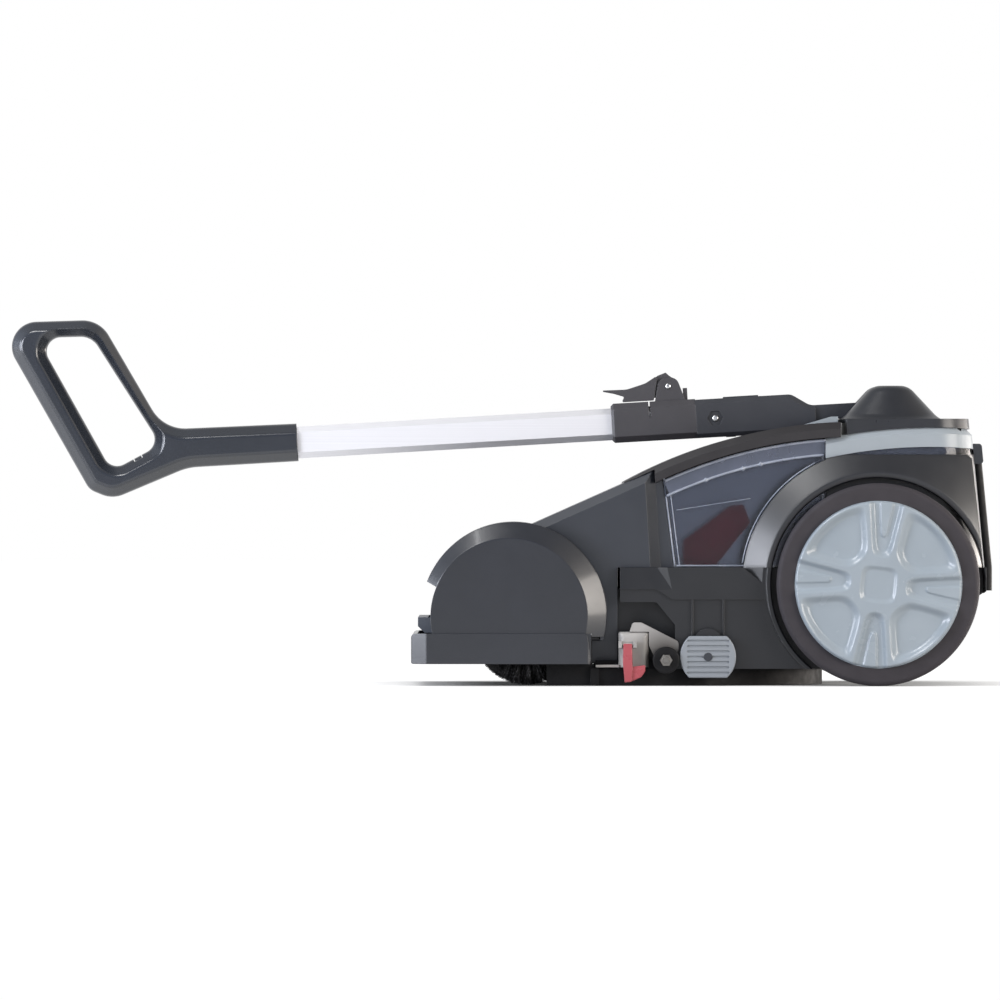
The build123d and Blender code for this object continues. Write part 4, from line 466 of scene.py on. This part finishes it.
def hub_cap(side_name, side):
    """Cap as a polar height field: rings of points out to the rim, then down to its back."""
    rings, spokes, inner_share = 150, 480, 0.02
    radii = CAP_R * np.concatenate([np.linspace(inner_share, 1, rings), [1, inner_share]])
    angles = np.linspace(0, 2 * math.pi, spokes, endpoint=False)
    r, angle = np.meshgrid(radii, angles, indexing="ij")
    x, y = r * np.cos(angle), r * np.sin(angle)
    height = cap_height(x, y)
    height[-2:] = 0.0
    u, v = turned(x, y, CAP_TURN)
    points = np.stack([AXLE[0] - side * u, side * (CAP_BACK_Y + height), AXLE[1] + v], -1)
    piece = mesh_piece(side_name + "_hub_disc", points.reshape(-1, 3), ringed_faces(*r.shape),
                       hub_abs, side_name + "_wheel", "hub_grey")
    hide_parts(side_name + "_hub_cap")


hub_cap("left", -1)
hub_cap("right", 1)


# Brush
def bristle_tufts():
    """Bunches of filaments in swept rows. Each filament is a three-sided taper that leans away
    from its tuft's middle and bends back, worked out for all filaments at once."""
    rows, around, strands = 34, 24, 16
    end_gap, sweep_degrees = 4.0, 80.0
    foot_spread, lean_spread, lean_scatter, bend = 1.6, 3.2, 0.9, 1.6
    tip_gap, tip_scatter, reach_gap, end_play = 0.3, 1.1, 0.15, 2.0
    random = np.random.default_rng(7)
    row_y = np.linspace(-BRUSH_HALF + end_gap, BRUSH_HALF - end_gap, rows)
    base_y, spot = (grid.ravel() for grid in np.meshgrid(row_y, np.arange(around), indexing="ij"))
    turn = np.radians(360 / around * spot + sweep_degrees * np.abs(base_y) / BRUSH_HALF)[:, None]
    count = rows * around
    spread = random.uniform(-1, 1, (2, count, strands))
    foot = foot_spread * spread
    lean = lean_spread * spread + random.normal(0, lean_scatter, (2, count, strands))
    tip_r = BRUSH_R - tip_gap - np.abs(random.normal(0, tip_scatter, (count, strands)))
    # Nine points to a filament, three rings of three corners: their places and half thicknesses
    share = np.array([0.0, 0.55, 1.0])[:, None, None]
    half = np.array([0.32, 0.3, 0.18])[:, None, None]
    corner = np.radians([90.0, 210.0, 330.0])[:, None, None, None]
    radius = CORE_R + (tip_r - CORE_R) * share
    y = base_y[:, None] + foot[0] + lean[0] * share ** bend + half * np.cos(corner)
    y = np.clip(y, -BRUSH_HALF - end_play, BRUSH_HALF + end_play)
    side = foot[1] + lean[1] * share ** bend + half * np.sin(corner)
    scale = np.minimum(1.0, (BRUSH_R - reach_gap) / np.hypot(radius, side))
    x = BRUSH[0] + scale * (radius * np.cos(turn) - side * np.sin(turn))
    z = BRUSH[1] + scale * (radius * np.sin(turn) + side * np.cos(turn))
    points = np.stack([x, y, z], -1).transpose(2, 3, 1, 0, 4).reshape(-1, 3)
    start = 9 * np.arange(count * strands)[:, None]
    ring, beside = np.array([0, 1, 2]), np.array([1, 2, 0])
    walls = np.concatenate([np.stack([k + ring, k + beside, k + 3 + beside, k + 3 + ring], -1)
                            for k in (0, 3)])
    walls = (start[:, :, None] + walls).reshape(-1, 4)
    tips = start + 6 + ring
    piece = mesh_piece("bristle_tufts", points, walls.tolist() + tips.tolist(), filament, "brush",
                       "bristle", closed=False)
    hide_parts("bristles")


bristle_tufts()


# Clear tank
def half_round(width, height, count=9):
    """Half an ellipse standing on a flat back, sunk a little into the wall, as measures across
    and out."""
    sunk = 0.3
    angle = np.linspace(0, math.pi, count)
    return np.stack([width / 2 * np.cos(angle), height * np.sin(angle) - sunk], -1)


def lid_arc(radius, start, end, count=90):
    """Points of an arc about the lid's centre between two X values, and the way up at each."""
    x = np.linspace(start, end, count)
    rise = np.sqrt(radius ** 2 - (x - LID_ARC[0]) ** 2)
    path = np.stack([x, 0 * x, LID_ARC[1] + rise], -1)
    up = np.stack([x - LID_ARC[0], 0 * x, rise], -1) / radius
    return path, up


def tank_edges():
    """Beads moulded on both sides of the clear tank, each a half round carried along its edge:
    the foot of the rim band with three small ticks, the top under the lid, two ribs down the
    front corner, the foot, a sloping fill line and the edge round the wheel arch."""
    tick_x, tick_width, tick_rise = (243.0, 287.0, 308.0), 1.6, 0.9
    front_top, corner_in, rib_in, rib_rows = 250, 1.4, 7.0, 25
    foot_end, foot_rise, arch_out = 296, 2.2, 1.4
    fill_start, fill_slope = 208, 0.158
    band_foot, band_foot_up = lid_arc(RIM_BAND_R, 197, 383, 260)
    ticks = sum(np.exp(-((band_foot[:, 0] - x) / tick_width) ** 2) for x in tick_x)
    ticked = half_round(3.2, 1.7) * (1 + tick_rise * ticks)[:, None, None]
    top, top_up = lid_arc(LID_FOOT_R - 3.0, 194, 385)
    z = np.linspace(TANK_FOOT[1] + 2, front_top, 30)
    front = np.stack([TANK_FOOT[0] - TANK_LEAN * (z - TANK_FOOT[1]), 0 * z, z], -1)
    lean = np.array([1.0, 0.0, TANK_LEAN]) / math.hypot(1, TANK_LEAN)
    x = np.linspace(TANK_FOOT[0] + 3, foot_end, 30)
    foot = np.stack([x, 0 * x, 0 * x + TANK_FOOT[1] + foot_rise], -1)
    fill = np.stack([x, 0 * x, fill_start + fill_slope * (x - fill_start)], -1)
    turn = np.radians(np.linspace(171, 117, 60))
    round_arch = np.stack([np.cos(turn), 0 * turn, np.sin(turn)], -1)
    arch = (ARCH_R + arch_out) * round_arch + (AXLE[0], 0, AXLE[1])
    up = (0, 0, 1)
    shapes = []
    for side in (-1, 1):
        out = np.array([0, side, 0])
        rim, wall = out * RIM_SIDE_Y, out * TANK_SIDE_Y
        shapes += [
            carried(band_foot + rim, band_foot_up, out, ticked),
            carried(top + rim, top_up, out, half_round(3.8, 2.4)),
            carried(front + wall + (corner_in, 0, 0), lean, out, half_round(2.0, 1.4)),
            carried(front[:rib_rows] + wall + (rib_in, 0, 0), lean, out, half_round(1.4, 0.7)),
            carried(foot + wall, up, out, half_round(1.8, 1.0)),
            carried(fill + wall, up, out, half_round(1.2, 0.36)),
            carried(arch + wall, round_arch, out, half_round(2.2, 1.4)),
        ]
    mesh_piece("tank_edges", *joined(*shapes), bead_highlight_clear, "machine", "clear_smoke")


def tank_rim_bands():
    """Thin paler wall of the rim band on both sides, a flat strip carried round the lid's arc."""
    edge_gap, sunk, thick = 1.2, 0.2, 0.7
    path, up = lid_arc((RIM_BAND_R + LID_FOOT_R) / 2, 196, 384)
    half = (LID_FOOT_R - RIM_BAND_R) / 2 - edge_gap
    strip = np.array([(-half, -sunk), (half, -sunk), (half, thick), (-half, thick)])
    sides = [carried(path + (0, side * RIM_SIDE_Y, 0), up, (0, side, 0), strip) for side in (-1, 1)]
    mesh_piece("tank_rim_bands", *joined(*sides), hazed_clear, "machine", "clear_smoke",
               smooth=False)


tank_edges()
tank_rim_bands()


# Release clips
def release_clip(side_name):
    """A clip as two outlines carried straight across, a bar and a foot with a sloping edge, given
    in shares of the solid clip's width and height. The foot is set back behind the bar's face,
    and a small radius rounds their edges."""
    bar = [(0.04, 0.94), (0.42, 0.94), (0.45, 0.3), (0.40, 0.02), (0.10, 0.0), (0.02, 0.5)]
    foot = [(0.38, 0.38), (1.0, 0.42), (0.98, 0.26), (0.82, 0.13), (0.36, 0.02)]
    bar_depths, foot_depths = (0.0, 0.9), (0.3, 1.0)
    edge_radius = 1.2 * MM
    low, high = (np.array(corner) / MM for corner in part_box(side_name + "_clip"))
    face, back = sorted((low[1], high[1]), key=abs, reverse=True)
    shapes = []
    for shares, depths in ((bar, bar_depths), (foot, foot_depths)):
        outline = low[[0, 2]] + np.array(shares) * (high - low)[[0, 2]]
        path = [(0, face + depth * (back - face), 0) for depth in depths]
        shapes.append(carried(path, (1, 0, 0), (0, 0, 1), outline))
    piece = mesh_piece(side_name + "_clip_lever", *joined(*shapes), red_abs, side_name + "_release",
                       "red_plastic", smooth=False)
    edges = piece.modifiers.new("soft_edges", "BEVEL")
    edges.width, edges.segments = edge_radius, 3
    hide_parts(side_name + "_clip")


release_clip("left")
release_clip("right")


# Small fasteners
def turned_head(centre, out, rings, count=36, flats=0):
    """Head of a fastener as rings about its axis, each given as a radius, a height along the axis
    and how far it follows a polygon with that many flats."""
    angle = np.linspace(0, 2 * math.pi, count, endpoint=False)
    centre, out = np.array(centre), np.array(out)
    first = np.cross(out, (0.0, 0.0, 1.0))
    second = np.cross(out, first)
    radius, height, share = (np.array(column)[:, None] for column in zip(*rings))
    reach = radius + 0 * angle
    if flats:
        half_turn = math.pi / flats
        corner = np.cos(np.mod(angle, 2 * half_turn) - half_turn)
        reach = radius * (1 - share + share * math.cos(half_turn) / corner)
    height = height + 0 * angle
    points = (centre + (reach * np.cos(angle))[..., None] * first
              + (reach * np.sin(angle))[..., None] * second + height[..., None] * out)
    return points.reshape(-1, 3), ringed_faces(*reach.shape)


def on_handle(out, up, y):
    """A point given by its distance from the hinge along the handle and its height over it."""
    fall = math.radians(HANDLE_FALL)
    return (HINGE[0] - out * math.cos(fall) - up * math.sin(fall), y,
            HINGE[1] - out * math.sin(fall) + up * math.cos(fall))


def lever_pin_heads():
    """Domed heads at both ends of the lever's pin: rings falling along a shallow curve."""
    dome = [(3.4, -0.4, 0), (3.4, 0.5, 0), (2.9, 1.0, 0), (1.8, 1.35, 0), (0.2, 1.5, 0)]
    heads = [turned_head(on_handle(*LEVER_PIN, side * EAR_Y), (0.0, side, 0.0), dome)
             for side in (-1, 1)]
    mesh_piece("lever_pin_heads", *joined(*heads), steel, "handle_base", "steel")


def roller_nuts():
    """Lock nuts on the side rollers: six flats with a turned crown, round a dark bolt end."""
    nut = [(7.6, -0.5, 1), (7.6, 1.6, 1), (6.6, 2.6, 0.5), (4.6, 2.6, 0), (4.0, 3.4, 0),
           (3.3, 3.4, 0), (3.0, 1.6, 0), (0.2, 1.6, 0)]
    low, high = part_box("roller_bolts")
    ends = [turned_head((ROLLER[0], y / MM, ROLLER[1]), (0.0, side, 0.0), nut, count=48, flats=6)
            for side, y in ((-1, low[1]), (1, high[1]))]
    mesh_piece("roller_nuts", *joined(*ends), worn_zinc, "squeegee", "steel", smooth=False)


lever_pin_heads()
roller_nuts()


# Studio
def soft_light(name, place, aim, size, watts, tint="#ffffff"):
    """Area lamp at a place, turned towards an aim point. Clear plastic doesn't pass its shape on,
    because inside the tank that only gives specks."""
    lamp = bpy.data.lights.new(name, "AREA")
    lamp.shape = "RECTANGLE"
    lamp.size, lamp.size_y = size
    lamp.energy = watts
    lamp.color = linear(tint)[:3]
    holder = bpy.data.objects.new(name, lamp)
    bpy.context.scene.collection.objects.link(holder)
    way = np.array(aim) - np.array(place)
    yaw = math.atan2(way[1], way[0]) - math.pi / 2
    tip = math.atan2(math.hypot(way[0], way[1]), -way[2])
    holder.location = place
    holder.rotation_euler = (tip, 0, yaw)
    holder.visible_transmission = False


def seen_directly(tree):
    """1 for rays from the camera, from gloss and through clear plastic, 0 for diffuse light."""
    path = add(tree, "ShaderNodeLightPath").outputs
    first = add(tree, "ShaderNodeMath", {"operation": "MAXIMUM"},
                {0: path["Is Camera Ray"], 1: path["Is Glossy Ray"]}).outputs[0]
    return add(tree, "ShaderNodeMath", {"operation": "MAXIMUM"},
               {0: first, 1: path["Is Transmission Ray"]}).outputs[0]


def pale_floor():
    """Wide floor that is white in the open and keeps the machine's shadow: its glow fades with the
    share of the sky that the machine hides within 200 mm. Sizes are in metres."""
    half, shadow_reach, open_glow = 30.0, 0.2, 0.9
    material = bpy.data.materials.new("pale_floor")
    material.use_nodes = True
    tree = material.node_tree
    tree.nodes.clear()
    matt = add(tree, "ShaderNodeBsdfDiffuse", {"Color": linear("#aaaaaa")})
    open_sky = add(tree, "ShaderNodeAmbientOcclusion", {"samples": 8, "Distance": shadow_reach})
    strength = add(tree, "ShaderNodeMath", {"operation": "MULTIPLY", 1: open_glow},
                   {0: open_sky.outputs["AO"]})
    glow = add(tree, "ShaderNodeEmission", {"Color": linear("#ffffff")},
               {"Strength": strength.outputs[0]})
    both = add(tree, "ShaderNodeAddShader", {}, {0: matt.outputs[0], 1: glow.outputs[0]})
    shown = add(tree, "ShaderNodeMixShader", {},
                {0: seen_directly(tree), 1: matt.outputs[0], 2: both.outputs[0]})
    add(tree, "ShaderNodeOutputMaterial", {}, {"Surface": shown.outputs[0]})
    mesh = bpy.data.meshes.new("floor")
    corners = [(-half, -half, 0), (half, -half, 0), (half, half, 0), (-half, half, 0)]
    mesh.from_pydata(corners, [], [(0, 1, 2, 3)])
    mesh.materials.append(material)
    floor = bpy.data.objects.new("floor", mesh)
    bpy.context.scene.collection.objects.link(floor)


def levels(tree, value, stops):
    """Colours along a value from -1 to 1, given as places and hex colours."""
    share = add(tree, "ShaderNodeMapRange", {"From Min": -1.0, "From Max": 1.0}, {"Value": value})
    ramp = add(tree, "ShaderNodeValToRGB", {}, {"Fac": share.outputs["Result"]})
    for place, tone in stops[1:-1]:
        ramp.color_ramp.elements.new((place + 1) / 2).color = linear(tone)
    for element, (place, tone) in ((0, stops[0]), (-1, stops[-1])):
        ramp.color_ramp.elements[element].position = (place + 1) / 2
        ramp.color_ramp.elements[element].color = linear(tone)
    return ramp.outputs["Color"]


def white_world():
    """White studio. The camera sees full white and diffuse light gets a softer fill. Gloss sees
    a room that is white at both sides and behind the machine, grey in front and dim above."""
    fill = 0.27
    world = bpy.data.worlds.new("studio")
    bpy.context.scene.world = world
    world.use_nodes = True
    tree = world.node_tree
    way = add(tree, "ShaderNodeTexCoord").outputs["Generated"]
    ray = add(tree, "ShaderNodeSeparateXYZ", {}, {"Vector": way}).outputs
    sides = levels(tree, ray["X"], ((-0.9, "#eef4ff"), (-0.4, "#a8a8a8"),
                                    (0.4, "#a8a8a8"), (0.9, "#fff7ee")))
    depth = levels(tree, ray["Y"], ((-0.9, "#adb2c0"), (-0.5, "#959aa6"),
                                    (0.1, "#a8a8a8"), (0.7, "#f8f8f8")))
    room = add(tree, "ShaderNodeMix", {"data_type": "RGBA", "blend_type": "LIGHTEN", 0: 1.0},
               {6: sides, 7: depth})
    gloss = add(tree, "ShaderNodeLightPath").outputs["Is Glossy Ray"]
    tint = add(tree, "ShaderNodeMix", {"data_type": "RGBA", 6: linear("#ffffff")},
               {0: gloss, 7: room.outputs[2]})
    level = add(tree, "ShaderNodeMix", {"A": fill, "B": 1.0}, {"Factor": seen_directly(tree)})
    back = tree.nodes["Background"]
    tree.links.new(tint.outputs[2], back.inputs["Color"])
    tree.links.new(level.outputs["Result"], back.inputs["Strength"])


def photo_camera():
    """Long lens square on to the machine's left side, level with the middle of the picture. The
    picture is 1.19 m wide at a plane near that side. Sizes are in metres, the sensor's in mm."""
    distance, picture_width, near_side, sensor = 15.0, 1.19, 0.10, 36.0
    middle_x, middle_z = -0.0012, 0.220
    data = bpy.data.cameras.new("photo_camera")
    data.sensor_width = sensor
    data.lens = sensor * (distance - near_side) / picture_width
    data.clip_end = 100.0
    camera = bpy.data.objects.new("photo_camera", data)
    bpy.context.scene.collection.objects.link(camera)
    camera.location = (middle_x, -distance, middle_z)
    camera.rotation_euler = (math.pi / 2, 0, 0)
    bpy.context.scene.camera = camera


pale_floor()
white_world()
photo_camera()
# Name, place, aim, width and height in metres, watts and tint
soft_light("top_softbox", (-0.9, -1.1, 2.1), (0.2, 0.0, 0.2), (0.9, 0.8), 24.0)
soft_light("left_softbox", (-1.9, -1.5, 0.6), (0.0, 0.0, 0.2), (1.0, 1.0), 40.0, "#f0f4ff")
soft_light("right_softbox", (2.0, -1.5, 0.6), (0.2, 0.0, 0.2), (1.2, 1.0), 34.0, "#fff8f0")
soft_light("left_rim", (-2.0, -0.1, 0.45), (0.2, 0.0, 0.2), (0.7, 0.8), 16.0, "#eef3ff")
soft_light("right_rim", (2.0, 0.5, 0.2), (0.2, 0.0, 0.2), (1.7, 0.4), 22.0, "#fff6ee")
bpy.context.scene.view_settings.view_transform = "Standard"
